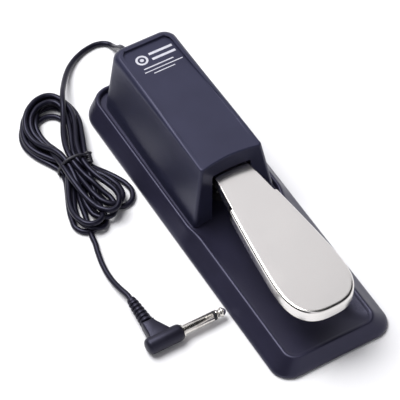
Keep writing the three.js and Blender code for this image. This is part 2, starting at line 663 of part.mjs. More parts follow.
// ---------------------------------------------------------------- spring and stops
function springCup() {
  const outer = SPRING_R + 2.6;
  const seat = SPRING_BOTTOM_Z - 1.2;
  const rim = FOOT_Z + CUP_RISE + 1.9;
  return turned([[0, FOOT_Z], [outer, FOOT_Z], [outer, rim], [outer - 1.2, rim], [outer - 1.2, seat],
    [SPRING_R - 1.4, seat], [SPRING_R - 1.9, rim + 1], [0, rim + 1]], 14).translate(0, SPRING_Y, 0);
}

function returnSpring() {
  const steps = SPRING_TURNS * 10;
  const points = [];
  const low = SPRING_BOTTOM_Z + SPRING_WIRE / 2;
  const high = SPRING_TOP_Z - SPRING_WIRE / 2;
  for (let i = 0; i <= steps; i++) {
    const a = (2 * Math.PI * SPRING_TURNS * i) / steps;
    points.push([SPRING_R * Math.cos(a), SPRING_Y + SPRING_R * Math.sin(a), mix(low, high, i / steps)]);
  }
  return sweep(points, SPRING_WIRE / 2, steps, 6);
}

function springSeat() {
  const top = LEVER_TOP_Z + LEVER_SLOPE * (SPRING_Y - LEVER_MOUTH_Y) - LEVER_METAL - GAP - 0.2;
  const rim = SPRING_R + 1.6;
  const tip = SPRING_TOP_Z - SEAT_SPIGOT;
  return turned([[0, tip], [SPRING_R - 2, tip], [SPRING_R - 1.4, SPRING_TOP_Z + GAP],
    [rim, SPRING_TOP_Z + GAP], [rim, top], [0, top]], 14).translate(0, SPRING_Y, 0);
}

// ---------------------------------------------------------------- switch
function switchBracket() {
  const web = SWITCH_HALF + GAP;
  const [near, far] = [SWITCH_Y0 + 1.5, SWITCH_Y0 + 13.5];
  const rear = SWITCH_HOLES[1] + 2.5;
  const profile = [[near, FOOT_Z], [far, FOOT_Z], [far, SWITCH_Z0 - 7.5], [rear, SWITCH_Z0 - 2.5],
    [rear, SWITCH_Z1 - 1.2], [near, SWITCH_Z1 - 1.2]];
  const body = join(block(-10, web + 1.2, near, far, FOOT_Z, FOOT_Z + 1.2),
    slab(profile, 0, 1.2).rotateX(Math.PI / 2).rotateZ(Math.PI / 2).translate(web, 0, 0));
  const [sx, sy] = SWITCH_FOOT_SCREW;
  const holes = SWITCH_HOLES.map((y) => alongX(rod(1.3, -20, 20, 8)).translate(0, y, SWITCH_HOLE_Z));
  return cut(body, rod(1.8, 0, 20).translate(sx, sy, 0), ...holes);
}

function microswitchBody() {
  const body = block(-SWITCH_HALF, SWITCH_HALF, SWITCH_Y0, SWITCH_Y1, SWITCH_Z0, SWITCH_Z1);
  const holes = SWITCH_HOLES.map((y) => alongX(rod(1.3, -20, 20, 8)).translate(0, y, SWITCH_HOLE_Z));
  const well = rod(PLUNGER_R + GAP, SWITCH_Z1 - 3.2, SWITCH_Z1 + 5, 16).translate(0, PLUNGER_Y, 0);
  const step = block(-9, -SWITCH_HALF + 0.4, SWITCH_Y0 - 1, SWITCH_Y1 + 1, SWITCH_Z0 + 6.4, SWITCH_Z0 + 6.9);
  return cut(body, well, step, ...holes);
}

function microswitchPlunger() {
  const top = SWITCH_Z1 + 2.4;
  return turned([[0, SWITCH_Z1 - 1.8], [PLUNGER_R, SWITCH_Z1 - 1.8], [PLUNGER_R, top - 0.5],
    [PLUNGER_R - 0.5, top], [0, top]], 16)
    .translate(0, PLUNGER_Y, 0);
}

function switchMountScrew(y) {
  return alongX(panScrew(1.0, 2.0, 1.1, SWITCH_HALF * 2 + 3.6).rotateX(Math.PI))
    .translate(-SWITCH_HALF - GAP, y, SWITCH_HOLE_Z);
}

function polarityBody() {
  const low = PLATE_TOP + GAP;
  const [w, d] = POLARITY_HALF;
  const body = block(-w, w, POLARITY_Y - d, POLARITY_Y + d, low, low + 5.6);
  return cut(body, block(-4, 4, POLARITY_Y - 2, POLARITY_Y + 2, low - 1, low + 2.2));
}

function polarityKnob() {
  const low = PLATE_TOP + GAP;
  const width = 3;
  const from = -(KNOB_TRAVEL + width) / 2;
  return block(from, from + width, POLARITY_Y - 1.7, POLARITY_Y + 1.7, 0.7, low + 1.8);
}

// ---------------------------------------------------------------- cord inside the housing
// a flange inside the wall, a neck through it, a collar outside and a ribbed tail
function strainRelief() {
  const inside = HOUSING_REAR_FOOT - HOUSING_WALL - 0.7 - GAP;
  const outside = HOUSING_REAR_FOOT + GAP;
  const r = RELIEF_NECK_R;
  const from = outside + 2.4;
  const count = 5;
  const pitch = (RELIEF_TIP_Y - 1.4 - from) / count;
  const ribs = [];
  for (let i = 0; i < count; i++) {
    const y = from + pitch * i;
    const wide = mix(r + 0.2, 3.0, i / count);
    ribs.push([wide, y], [wide - 0.1, y + pitch * 0.6], [wide - 0.75, y + pitch * 0.7]);
  }
  return alongY(turned([[0, inside - 2], [r + 1.7, inside - 2], [r + 1.7, inside], [r, inside], [r, outside],
    [r + 1.3, outside], [r + 1.3, outside + 1.5], [r + 0.3, outside + 1.9], ...ribs,
    [CORD_R + 1.1, RELIEF_TIP_Y - 1.2], [CORD_R + 0.9, RELIEF_TIP_Y], [0, RELIEF_TIP_Y]], 12))
    .translate(0, 0, RELIEF_Z);
}

function cableClamp() {
  const foot = FOOT_Z;
  const tab = CLAMP_SCREW_X + 3.2;
  const crown = foot + JACKET_R * 2 + 1;
  const arch = [[-tab, foot], [-3.6, foot], [-2.3, foot + 1.8], [-1.6, crown], [1.6, crown],
    [2.3, foot + 1.8], [3.6, foot], [tab, foot], [tab, foot + 1.6], [4.6, foot + 1.6], [3.2, crown + 1.6],
    [-3.2, crown + 1.6], [-4.6, foot + 1.6], [-tab, foot + 1.6]];
  const body = slab(arch, 0, CLAMP_LENGTH).rotateX(Math.PI / 2).translate(0, CLAMP_Y + CLAMP_LENGTH / 2, 0);
  return cut(body, ...CLAMP_SCREWS.map(([x, y]) => rod(1.8, 0, 20).translate(x, y, 0)));
}

const JACKET_Z = FOOT_Z + JACKET_R + 0.4;
const RELIEF_IN = HOUSING_REAR_FOOT - HOUSING_WALL - 3.4 - GAP;
const JACKET_ROUTE = [[0, RELIEF_IN, RELIEF_Z], [0, RELIEF_IN - 1.4, RELIEF_Z - 0.1],
  [0, RELIEF_IN - 4, RELIEF_Z - 1.8],
  [0, RELIEF_IN - 6.6, RELIEF_Z - 6.6], [0, RELIEF_IN - 10.2, JACKET_Z + 1], [0, CLAMP_Y + 2, JACKET_Z],
  [0, CLAMP_Y - 6, JACKET_Z]];
const WIRES_FROM = CLAMP_Y - 6.6;
const PASS_X = BRACKET_HALF - SHEET - 2.3; // beside the lever cheeks, inside the bracket ears
const RED_ROUTE = [[-0.8, WIRES_FROM, JACKET_Z], [-5, WIRES_FROM - 5.4, FOOT_Z + 1.7],
  [-PASS_X, PIVOT_Y + 21, FOOT_Z + 2.2], [-PASS_X, PIVOT_Y - 5, FOOT_Z + 3.7],
  [-PASS_X + 0.8, PIVOT_Y - 13, FOOT_Z + 4.2], [-5, SWITCH_Y0 + 3.5, FOOT_Z + 9.7],
  [0.6, TERMINALS[0] - 1.6, SWITCH_Z0 - 4.5]];
const BLACK_ROUTE = [[0.8, WIRES_FROM, JACKET_Z], [5, WIRES_FROM - 5.4, FOOT_Z + 1.7],
  [PASS_X, PIVOT_Y + 21, FOOT_Z + 2.2], [PASS_X, PIVOT_Y + 1, FOOT_Z + 3.7],
  [PASS_X - 2.8, PIVOT_Y - 5.8, FOOT_Z + 6.1], [4, PIVOT_Y - 8, SWITCH_Z0 - 10.3],
  [1.4, TERMINALS[1] + 1.8, SWITCH_Z0 - 7.1], [0.8, TERMINALS[1] + 0.2, SWITCH_Z0 - 4.7]];

// ---------------------------------------------------------------- cord outside
// points as laid beside the base; those right behind the housing keep their x
const laid = ([x, y, ...z]) => [x + LAY_X * Math.min(1, Math.max(0, -x / 42.2)), y + LAY_Y, ...z];
const LEAD_ROUTE = [[0, RELIEF_TIP_Y + GAP, RELIEF_Z], [0, RELIEF_TIP_Y + 2.4, RELIEF_Z],
  ...[[0.5, 139.6, RELIEF_Z - 2.4], [1.7, 146.6, RELIEF_Z - 9.4], [2.9, 153.4, 7.6], [3.6, 159.2, 3.2],
    [1.7, 164, 1.95], [-3.4, 166.6, CORD_R], [-10.4, 166.6, CORD_R], [-19.4, 163.7, CORD_R],
    [-28.5, 158.4, CORD_R], [-36.3, 151.3, CORD_R], [-42.2, 144, CORD_R]].map(laid)];
const TAIL_ROUTE = [[-82.8, 25.9, CORD_R], [-84, 22, CORD_R], [-86, 14.5, CORD_R], [-88.4, 2.5, 2.1],
  [-89.1, -9, 3], [-88.4, -18.5, 4.6], [-87.3, -25.4, 5.5], [-87.2, -28.6, PLUG_Z]].map(laid);
const HANK_HEIGHT = 12;
const HANK_EDGE = [[-44.6, 114], [-44.6, 124], [-46.4, 133], [-50.5, 139], [-57, 142], [-66, 140], [-75, 134.6],
  [-82.6, 125], [-87, 113], [-87.4, 103], [-84, 94.4], [-79, 86], [-77, 79], [-79.6, 66], [-83.6, 56], [-86.6, 45],
  [-86.4, 35], [-83.6, 29], [-78, 26.8], [-67, 28], [-56.6, 31.8], [-49, 36.6], [-45.4, 44.6], [-46, 54],
  [-50, 63], [-55.6, 72], [-57.4, 80], [-54.4, 91], [-48, 104]].map(laid);

function cordHank() {
  const curve = new THREE.CatmullRomCurve3(HANK_EDGE.map(([x, y]) => new THREE.Vector3(x, y, 0)), true);
  const points = curve.getPoints(44).slice(0, -1).reverse().map((p) => new THREE.Vector2(p.x, p.y));
  const round = 2.2;
  return new THREE.ExtrudeGeometry(new THREE.Shape(points), {
    depth: HANK_HEIGHT - 2 * round - 0.2, bevelEnabled: true, bevelThickness: round, bevelSize: round,
    bevelOffset: -round, bevelSegments: 2, curveSegments: 1,
  }).translate(0, 0, round + 0.1);
}

// wire tie: a flat strap bent over the waist of the hank
function cordTie() {
  const reach = 12.6;
  const top = HANK_HEIGHT + 0.4;
  const side = [[reach, 0.1], [reach, top - 3], [reach - 0.9, top - 0.9], [reach - 3, top]];
  const inner = side.map(([x, z]) => [x, z]);
  const outer = [[reach + 0.9, 0.1], [reach + 0.9, top - 2.6], [reach - 0.3, top - 0.2], [reach - 2.6, top + 0.9]];
  const mirror = (list) => list.slice().reverse().map(([x, z]) => [-x, z]);
  const loop = [...outer, ...mirror(outer), ...inner.map(([x, z]) => [-x, z]), ...inner.slice().reverse()];
  return slab(loop, -2, 2).rotateX(Math.PI / 2).rotateZ(0.12).translate(-67.2 + LAY_X, 79.4 + LAY_Y, 0);
}

// ---------------------------------------------------------------- plug
function plugBoot() {
  const from = PLUG_Y + 15.8;
  const to = from + 19.9;
  const count = 6;
  const pitch = (to - 2 - from) / count;
  const ribs = [];
  for (let i = 0; i < count; i++) {
    const y = from + pitch * i;
    const r = mix(4.3, 3.2, i / (count - 1));
    ribs.push([r, y], [r - 0.15, y + pitch * 0.55], [r - 0.8, y + pitch * 0.68]);
  }
  return alongY(turned([[0, from], ...ribs, [CORD_R + 1.2, to - 1.9], [CORD_R + 0.7, to],
    [0, to]], 12)).translate(PLUG_X - 14.6, 0, PLUG_Z);
}

// right-angle plug: a barrel along X with an arm to the boot
function plugBody() {
  const r = PLUG_R;
  const barrel = alongX(turned([[0, -24], [r - 2.7, -23.8], [r - 0.9, -22.8], [r, -20.8], [r, -2.8], [r - 0.5, -0.6],
    [r - 1, 0], [0, 0]], 14)).translate(PLUG_X, PLUG_Y, PLUG_Z);
  const edge = [[-19.8, 1], [-3.4, 1], [-4.8, 3.3], [-9.8, 12.7], [-10.6, 15.5], [-18.6, 15.5]];
  const arm = new THREE.ExtrudeGeometry(new THREE.Shape(edge.map(([x, y]) => new THREE.Vector2(x, y))), {
    depth: 4.4, bevelEnabled: true, bevelThickness: 2, bevelSize: 1.2, bevelOffset: -1.2, bevelSegments: 2,
  }).translate(PLUG_X, PLUG_Y, PLUG_Z - 2.2);
  return join(barrel, arm);
}

// the jack's three pieces, each a profile along X from the plug's face
function jackPiece(profile) {
  return alongX(turned(profile, 14)).translate(PLUG_X, PLUG_Y, PLUG_Z);
}

const jackSleeve = () => jackPiece([[0, GAP], [JACK_R, GAP], [JACK_R, 21], [JACK_R - 0.3, 21.4], [0, 21.4]]);
const jackInsulator = () => jackPiece([[0, 21.7], [JACK_R - 0.15, 21.7], [JACK_R - 0.15, 22.9], [0, 22.9]]);

function jackTip() {
  const r = JACK_R;
  return jackPiece([[0, 23.2], [r - 0.3, 23.2], [r, 23.5], [r - 0.05, 24.2], [r - 0.95, 25.4], [r - 0.95, 25.8],
    [r - 0.1, 27.2], [r - 0.1, 27.7], [r - 1.5, 29.6], [r - 2.4, 30.3], [0, 30.5]]);
}

// ---------------------------------------------------------------- assembly
const SIDE = ['left', 'right'];
const CORNER = ['front_left', 'front_right', 'rear_left', 'rear_right'];

add('base_tray', baseTray(), 'trayAbs');
add('floor_mat', floorMat(), 'rubber');
add('ballast_plate', ballastPlate(), 'zinc');
FRONT_SCREWS.forEach(([x, y], i) => add(`plate_screw_${SIDE[i]}`,
  sunkScrew(1.3, DISH_Z - 1.6).translate(x, y, 0), 'zinc'));
add('housing_shell', housingShell(), 'abs');
HOUSING_SCREWS.forEach(([x, y], i) => add(`housing_screw_${CORNER[i]}`,
  sunkScrew(1.5, FOOT_Z + 11.7).translate(x, y, 0), 'zinc'));

add('pedal_lever', pedalLever(), 'chrome');
add('pivot_bracket', pivotBracket(), 'zinc');
BRACKET_SCREWS.forEach(([x, y], i) => add(`bracket_screw_${CORNER[i]}`,
  panScrew(1.4, 2.7, 1.8, 6).translate(x, y, FOOT_Z + GAP + SHEET), 'zinc'));
add('pivot_axle', pivotAxle(), 'steel');
[-1, 1].forEach((side, i) => {
  add(`axle_spacer_${SIDE[i]}`, axleSpacer(side), 'nylon');
  add(`axle_clip_${SIDE[i]}`, axleClip(side), 'steel');
});

add('spring_cup', springCup(), 'nylon');
add('return_spring', returnSpring(), 'steel');
add('spring_seat', springSeat(), 'nylon');
add('up_stop_felt', block(-FELT.half, FELT.half, FELT_Y - FELT.reach, FELT_Y + FELT.reach, FELT_Z,
  FELT_Z + FELT.thick), 'felt');
add('down_stop_pad', block(-PAD.half, PAD.half, PAD.from, PAD.to, HOUSING_CEILING - GAP - PAD.thick,
  HOUSING_CEILING - GAP), 'rubber');

add('switch_bracket', switchBracket(), 'zinc');
add('switch_foot_screw', panScrew(1.4, 2.6, 1.7, 5.6)
  .translate(SWITCH_FOOT_SCREW[0], SWITCH_FOOT_SCREW[1], FOOT_Z + GAP + 1.2), 'zinc');
add('microswitch_body', microswitchBody(), 'phenolic');
add('microswitch_plunger', microswitchPlunger(), 'knob');
TERMINALS.forEach((y, i) => add(`switch_terminal_${['common', 'open'][i]}`,
  block(-1.6, 1.6, y - 0.25, y + 0.25, SWITCH_Z0 - GAP - TERMINAL_LENGTH, SWITCH_Z0 - GAP), 'tinned'));
SWITCH_HOLES.forEach((y, i) => add(`switch_mount_screw_${['front', 'rear'][i]}`, switchMountScrew(y), 'zinc'));
add('polarity_switch_body', polarityBody(), 'phenolic');
add('polarity_switch_knob', polarityKnob(), 'knob');

add('strain_relief', strainRelief(), 'rubber');
add('cable_clamp', cableClamp(), 'nylon');
CLAMP_SCREWS.forEach(([x, y], i) => add(`clamp_screw_${SIDE[i]}`,
  panScrew(1.4, 2.6, 1.7, 6).translate(x, y, FOOT_Z + GAP + 1.6), 'zinc'));
add('inner_jacket', sweep(JACKET_ROUTE, JACKET_R, 14), 'cord');
add('wire_red', sweep(RED_ROUTE, WIRE_R, 22, 5), 'redWire');
add('wire_black', sweep(BLACK_ROUTE, WIRE_R, 22, 5), 'blackWire');

add('cord_lead', sweep(LEAD_ROUTE, CORD_R, 24), 'cord');
add('cord_hank', cordHank(), 'cord');
add('cord_tie', cordTie(), 'rubber');
add('cord_tail', sweep(TAIL_ROUTE, CORD_R, 10), 'cord');
add('plug_boot', plugBoot(), 'rubber');
add('plug_body', plugBody(), 'rubber');
add('jack_sleeve', jackSleeve(), 'nickel');
add('jack_insulator', jackInsulator(), 'phenolic');
add('jack_tip', jackTip(), 'nickel');

export default pedal;
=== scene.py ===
# %% [markdown]
# # A piano-style sustain pedal
# The frame comes first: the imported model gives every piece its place, in metres, with +Z up and
# the toe of the lever towards -Y. What follows only gives the pieces their finer shapes and
# finishes, so each one is made where its CAD piece lies.

# %% Load the frame
import json
import math

import bpy
import bmesh
from mathutils import Matrix, Vector


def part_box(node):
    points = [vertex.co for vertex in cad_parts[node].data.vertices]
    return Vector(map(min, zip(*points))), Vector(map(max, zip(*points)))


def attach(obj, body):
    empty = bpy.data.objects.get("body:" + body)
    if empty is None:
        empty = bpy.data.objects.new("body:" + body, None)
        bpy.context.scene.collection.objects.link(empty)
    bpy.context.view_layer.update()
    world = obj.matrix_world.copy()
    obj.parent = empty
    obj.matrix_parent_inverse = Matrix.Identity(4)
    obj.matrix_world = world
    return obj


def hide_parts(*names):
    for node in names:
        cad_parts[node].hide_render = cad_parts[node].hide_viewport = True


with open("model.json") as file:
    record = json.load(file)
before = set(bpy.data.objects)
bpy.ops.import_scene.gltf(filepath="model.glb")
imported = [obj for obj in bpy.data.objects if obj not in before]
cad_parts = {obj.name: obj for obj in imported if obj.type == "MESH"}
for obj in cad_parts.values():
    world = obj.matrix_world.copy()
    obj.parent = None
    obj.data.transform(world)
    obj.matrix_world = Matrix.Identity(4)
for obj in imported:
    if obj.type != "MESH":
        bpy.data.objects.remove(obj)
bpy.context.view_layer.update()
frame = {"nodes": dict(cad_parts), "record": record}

MM = 0.001


def put_in_scene(name, data):
    """A new object that holds the data, linked to the scene."""
    piece = bpy.data.objects.new(name, data)
    bpy.context.scene.collection.objects.link(piece)
    return piece


# %% [markdown]
# ## The camera
# A product view from the front left and above. A long lens (about 200 mm) keeps the edges of the
# base nearly parallel. The camera looks along the third column of its own matrix, so the matrix is
# built straight from the azimuth, the elevation and a very small roll.

# %% Camera
AZIMUTH, ELEVATION, ROLL = math.radians(-29.869), math.radians(51.469), math.radians(-0.469)
TARGET, DISTANCE = Vector((-0.010685, 0.019658, 0)), 1.37974
SENSOR_MM, LENS_MM = 36, 198.6057
back = Vector((math.sin(AZIMUTH) * math.cos(ELEVATION), -math.cos(AZIMUTH) * math.cos(ELEVATION),
               math.sin(ELEVATION)))
side = Vector((math.cos(AZIMUTH), math.sin(AZIMUTH), 0))
rise = back.cross(side)
across = math.cos(ROLL) * side + math.sin(ROLL) * rise
up = -math.sin(ROLL) * side + math.cos(ROLL) * rise
camera_data = bpy.data.cameras.new("camera")
camera_data.sensor_width, camera_data.lens = SENSOR_MM, LENS_MM
camera_data.clip_start, camera_data.clip_end = 0.05, 20
camera = put_in_scene("camera", camera_data)
camera.matrix_world = Matrix.Translation(TARGET + DISTANCE * back) @ Matrix(
    (across, up, back)).transposed().to_4x4()
bpy.context.scene.camera = camera
print("camera at", [round(v, 3) for v in camera.matrix_world.translation])

# %% [markdown]
# ## The cord
# A limp PVC cord, 3.6 mm thick, as on most pedals of this kind: about 1.9 m from the ribbed relief
# at the rear to the plug. It leaves the housing straight, drops behind the base, lies on the floor
# and goes into a hank of seven turns, tied at the waist, with the plug end coming out below.
#
# The lead and the tail are listed, and all but the lead's last three points are the CAD's. In
# the hank the first three points are listed and the other 221 are a computed table: turns first
# laid out were settled by a separate relaxation, which pushed strands that met one thickness apart
# and let them sink. A Bezier curve with automatic handles passes through all the points.

# %% Points of the cord, in millimetres
LEAD = [(0, 132.3, 24), (0, 134.4, 24), (0.5, 139.6, 21.6), (1.7, 146.6, 14.6), (2.9, 153.4, 7.6),
        (3.6, 159.2, 3.2), (1.7, 164, 1.95), (-3.4, 166.6, 1.8), (-10.4, 166.6, 1.8),
        (-19.4, 163.8, 2.1), (-28, 158.3, 3.2), (-34.2, 152.1, 4.7)]
HANK = [
    (-38.9, 145.9, 6.6), (-42.9, 139.9, 8.7), (-46.7, 133.6, 11), (-50.2, 126.9, 12.3),
    (-53.7, 119.7, 11.5), (-57.4, 112.6, 11), (-61.2, 105.6, 11.1), (-64.5, 98.3, 11.5),
    (-67, 90.7, 12), (-68.3, 82.8, 12.2), (-68.2, 74.8, 11.6), (-66.7, 67.1, 10.2),
    (-64.5, 59.5, 9.1), (-62.1, 52.1, 7), (-59.7, 44.7, 5.4), (-61.1, 37.1, 4.3),
    (-67.6, 33.6, 4.7), (-74.2, 37.9, 4.9), (-75.5, 45.7, 5), (-74.7, 53.6, 5.6),
    (-73.4, 61.5, 6.8), (-72.2, 69.2, 8.5), (-71.5, 77, 10.1), (-71.9, 84.9, 11.2),
    (-73.8, 92.7, 11.1), (-77, 99.7, 9.1), (-79.8, 107, 7.4), (-80.9, 114.9, 7.4),
    (-79.5, 122.7, 8.1), (-75.6, 129.6, 9), (-69.6, 134.8, 9.4), (-62.2, 137.8, 9.5),
    (-54.5, 136.8, 9.2), (-49.8, 130.5, 8.7), (-48.4, 122.6, 8.5), (-49.4, 114.7, 8.7),
    (-52.1, 107.2, 9), (-55.4, 99.9, 9.5), (-58.7, 92.6, 10.1), (-61.1, 85, 10.6),
    (-62.3, 77.1, 10.9), (-61.9, 69.1, 10.6), (-60.1, 61.4, 10), (-57.5, 53.8, 9.5),
    (-55.9, 46, 9.7), (-57.7, 38.3, 10.2), (-63.8, 33.6, 9.9), (-70.3, 37.7, 9.9),
    (-73, 45.1, 9.3), (-74.4, 53, 9.4), (-75.1, 61, 9.9), (-75.3, 69, 10.2), (-75.1, 77, 10.1),
    (-74.8, 85, 9.3), (-74.6, 92.8, 7.6), (-74.9, 100.6, 5.8), (-76.2, 108.5, 5.4),
    (-77.2, 116.3, 6.3), (-75.1, 123.9, 7.5), (-69.9, 129.9, 8.4), (-62.6, 132.9, 8.8),
    (-55.1, 131.4, 8.6), (-52.4, 124.1, 8.3), (-53.5, 116.2, 8), (-55.6, 108.4, 8.1),
    (-58.4, 100.9, 8), (-61.5, 93.6, 7.9), (-64, 85.9, 8.1), (-63.2, 78.2, 7.1),
    (-59.4, 71.7, 4.8), (-54.9, 65.1, 4.5), (-51.7, 57.8, 4.1), (-50.8, 49.9, 4.7),
    (-53.2, 42.4, 5.8), (-59.7, 38.6, 7.2), (-65.8, 43.2, 8.3), (-68.2, 50.8, 8.5),
    (-68.9, 58.7, 8), (-69, 66.7, 7.4), (-69.1, 74.7, 7.2), (-70.7, 82.5, 7.9), (-74.5, 89, 5.4),
    (-79, 95.6, 5.3), (-82.8, 102.7, 5.2), (-84.6, 110.4, 5.2), (-83.5, 118.3, 5.2),
    (-80.2, 125.6, 5.3), (-75.1, 131.7, 5.4), (-68.5, 136.2, 5.5), (-60.8, 138.3, 5.6),
    (-53.1, 136.7, 5.6), (-48.2, 130.5, 5.4), (-46.1, 122.8, 5.2), (-46.3, 114.8, 5.5),
    (-48.3, 107.1, 6.1), (-51.2, 99.7, 7), (-54.1, 92.3, 7.8), (-57, 84.9, 8.4),
    (-59.7, 77.3, 8.3), (-62, 69.7, 7.4), (-64, 62, 6.1), (-66.2, 54.4, 5.3), (-68.1, 46.6, 5.5),
    (-69.8, 38.9, 6.7), (-73.9, 32.2, 7.9), (-81.2, 32, 8.2), (-85.3, 38.7, 7.4),
    (-85.9, 46.6, 6.3), (-84.2, 54.4, 5.8), (-81.1, 61.8, 5.7), (-77.4, 68.9, 5.8),
    (-73.8, 76, 5.6), (-70.8, 83.4, 4.6), (-70, 91.2, 5.3), (-70.9, 99, 3.6),
    (-72.8, 106.8, 2.8), (-73.7, 114.6, 3.6), (-72.4, 122.4, 5), (-68.3, 129.2, 5.2),
    (-62.1, 134.2, 5.4), (-54.6, 132.8, 5.4), (-50.2, 126.3, 5.3), (-49.9, 118.4, 5.3),
    (-52.1, 110.7, 5.3), (-55, 103.2, 5.4), (-57.8, 95.7, 5.4), (-59.7, 88, 5.4),
    (-59.8, 80, 5.2), (-56.3, 73.1, 3.7), (-51.4, 66.9, 2.3), (-47.4, 60, 1.8),
    (-44.7, 52.5, 1.8), (-45, 44.6, 2), (-50.2, 38.8, 1.9), (-57.9, 39.6, 1.8),
    (-62.3, 46.1, 1.8), (-63.8, 53.9, 1.8), (-63.7, 61.9, 1.8), (-63, 69.8, 1.8),
    (-65.3, 77.4, 1.8), (-68, 84.9, 1.8), (-71.2, 92.2, 1.8), (-74.7, 99.5, 1.8),
    (-77.2, 107.1, 1.8), (-77.3, 115, 1.8), (-74.1, 122.3, 1.8), (-67.6, 126.7, 1.8),
    (-59.7, 126.5, 1.8), (-54.9, 120.6, 1.8), (-56.1, 112.7, 2.3), (-58.3, 105, 2.8),
    (-60.7, 97.4, 3.5), (-63, 89.8, 4.2), (-64.9, 82, 4.7), (-66.2, 74.1, 5), (-66.7, 66.1, 4.8),
    (-67.4, 58.4, 3.1), (-67.9, 50.5, 1.8), (-68, 42.5, 1.8), (-69.3, 34.6, 1.9),
    (-74.6, 29.2, 3.6), (-81.4, 32.4, 4.8), (-84.4, 39.6, 3.9), (-83.5, 47.5, 3.2),
    (-80.8, 55, 2.8), (-77.3, 62.3, 2.5), (-74.2, 69.6, 2.2), (-72.4, 77.4, 1.9),
    (-72.7, 85.4, 1.8), (-75.5, 92.8, 1.8), (-79, 100.1, 1.8), (-81.1, 107.8, 1.8),
    (-81, 115.7, 1.8), (-78, 123.1, 1.8), (-72.9, 129.2, 1.8), (-66, 133.3, 1.8),
    (-58.1, 134, 1.8), (-52, 129.3, 1.8), (-50.3, 121.5, 1.8), (-51.5, 113.6, 1.8),
    (-54.2, 106.1, 1.8), (-56.8, 98.5, 1.8), (-55.5, 90.8, 1.8), (-57.2, 83, 1.8),
    (-60.2, 75.6, 1.8), (-65, 69.4, 1.8), (-69.7, 63, 1.8), (-72.4, 55.4, 1.8),
    (-73.2, 47.5, 1.8), (-72.4, 39.5, 1.8), (-75.7, 32.7, 1.8), (-83.3, 31.6, 1.8),
    (-88.4, 37.4, 1.8), (-87.7, 45.3, 1.8), (-85.4, 53, 1.8), (-82.3, 60.4, 1.8),
    (-79.1, 67.7, 1.8), (-76.3, 75.2, 1.8), (-75.7, 83.1, 1.8), (-78.4, 90.7, 1.8),
    (-82, 97.8, 1.8), (-84.8, 105.3, 1.8), (-85.8, 113.2, 1.8), (-83.7, 120.9, 1.8),
    (-79.3, 127.5, 1.8), (-73.5, 133.1, 1.8), (-66.7, 137.3, 1.8), (-59.1, 139.2, 1.8),
    (-51.9, 135.9, 1.8), (-47.2, 129.5, 1.8), (-45.4, 121.7, 1.8), (-45.9, 113.7, 1.8),
    (-48.6, 106.2, 1.8), (-52.4, 99.2, 1.8), (-57.2, 93.1, 1.8), (-61, 86.3, 1.8),
    (-64.8, 79.3, 1.8), (-69.1, 72.7, 1.8), (-72.2, 65.3, 1.8), (-75.4, 57.9, 1.8),
    (-77.6, 50.2, 1.8), (-79.3, 42.4, 1.8), (-81.3, 34.6, 1.8), (-83.3, 26.9, 1.8),
]
TAIL = [(-84, 22, 1.8), (-86, 14.5, 1.8), (-88.4, 2.5, 2.1), (-89.1, -9, 3), (-88.4, -18.5, 4.6),
        (-87.3, -25.4, 5.5), (-87.2, -28.6, 5.6)]
CORD_THICK = 3.6
route = [Vector(p) * MM for p in LEAD + HANK + TAIL]


# %% A curve through points
def run_curve(name, points, thickness, smoothness=6, sides=5):
    """One open Bezier spline through the points, given a round section."""
    data = bpy.data.curves.new(name, "CURVE")
    data.dimensions = "3D"
    spline = data.splines.new("BEZIER")
    spline.bezier_points.add(len(points) - 1)
    for knot, place in zip(spline.bezier_points, points):
        knot.co = place
        knot.handle_left_type = knot.handle_right_type = "AUTO"
    data.resolution_u = smoothness
    data.bevel_depth = thickness / 2
    data.bevel_resolution = sides
    data.use_fill_caps = True
    return put_in_scene(name, data)


cord = run_curve("cord_with_hank", route, CORD_THICK * MM)
print("cord piece", cord.name)

# %% [markdown]
# ## Finishes
# Three finishes make the object: black moulded ABS with a fine spark-eroded grain, steel with a
# bright nickel-chrome plate, and soft PVC on the cord. The rest are small, inside or underneath.
# Every colour is written as sRGB hex and turned to the linear values that a shader works in. The
# faint blue of the ABS's and PVC's highlights is a choice for the look, not a measured property.

# %% Helpers for colours, nodes and materials
def linear(code):
    """sRGB hex to linear RGBA."""
    parts = [int(code[i:i + 2], 16) / 255 for i in (1, 3, 5)]
    return [v / 12.92 if v <= 0.04045 else ((v + 0.055) / 1.055) ** 2.4 for v in parts] + [1.0]


def add(tree, kind, links=None, **settings):
    """A node of that kind. links gives socket name: (node, output); settings are sockets or
    properties."""
    node = tree.nodes.new("ShaderNode" + kind)
    for key, value in settings.items():
        spaced = key.replace("_", " ")
        if spaced in node.inputs.keys():
            node.inputs[spaced].default_value = value
        else:
            setattr(node, key, value)
    for socket, (source, output) in (links or {}).items():
        tree.links.new(source.outputs[output], node.inputs[socket])
    return node


def finish(name, **settings):
    """A material with one Principled shader. Returns the material, its tree and the shader."""
    material = bpy.data.materials.new(name)
    material.use_nodes = True
    tree = material.node_tree
    shader = tree.nodes["Principled BSDF"]
    for key, value in settings.items():
        shader.inputs[key.replace("_", " ")].default_value = value
    return material, tree, shader


def ramp(tree, source, low, high, stops, output="Fac"):
    """Spreads a pattern between two values: low at stops[0], high at stops[1]."""
    return add(tree, "MapRange", {"Value": (source, output)}, **{
        "From Min": stops[0], "From Max": stops[1], "To Min": low, "To Max": high})


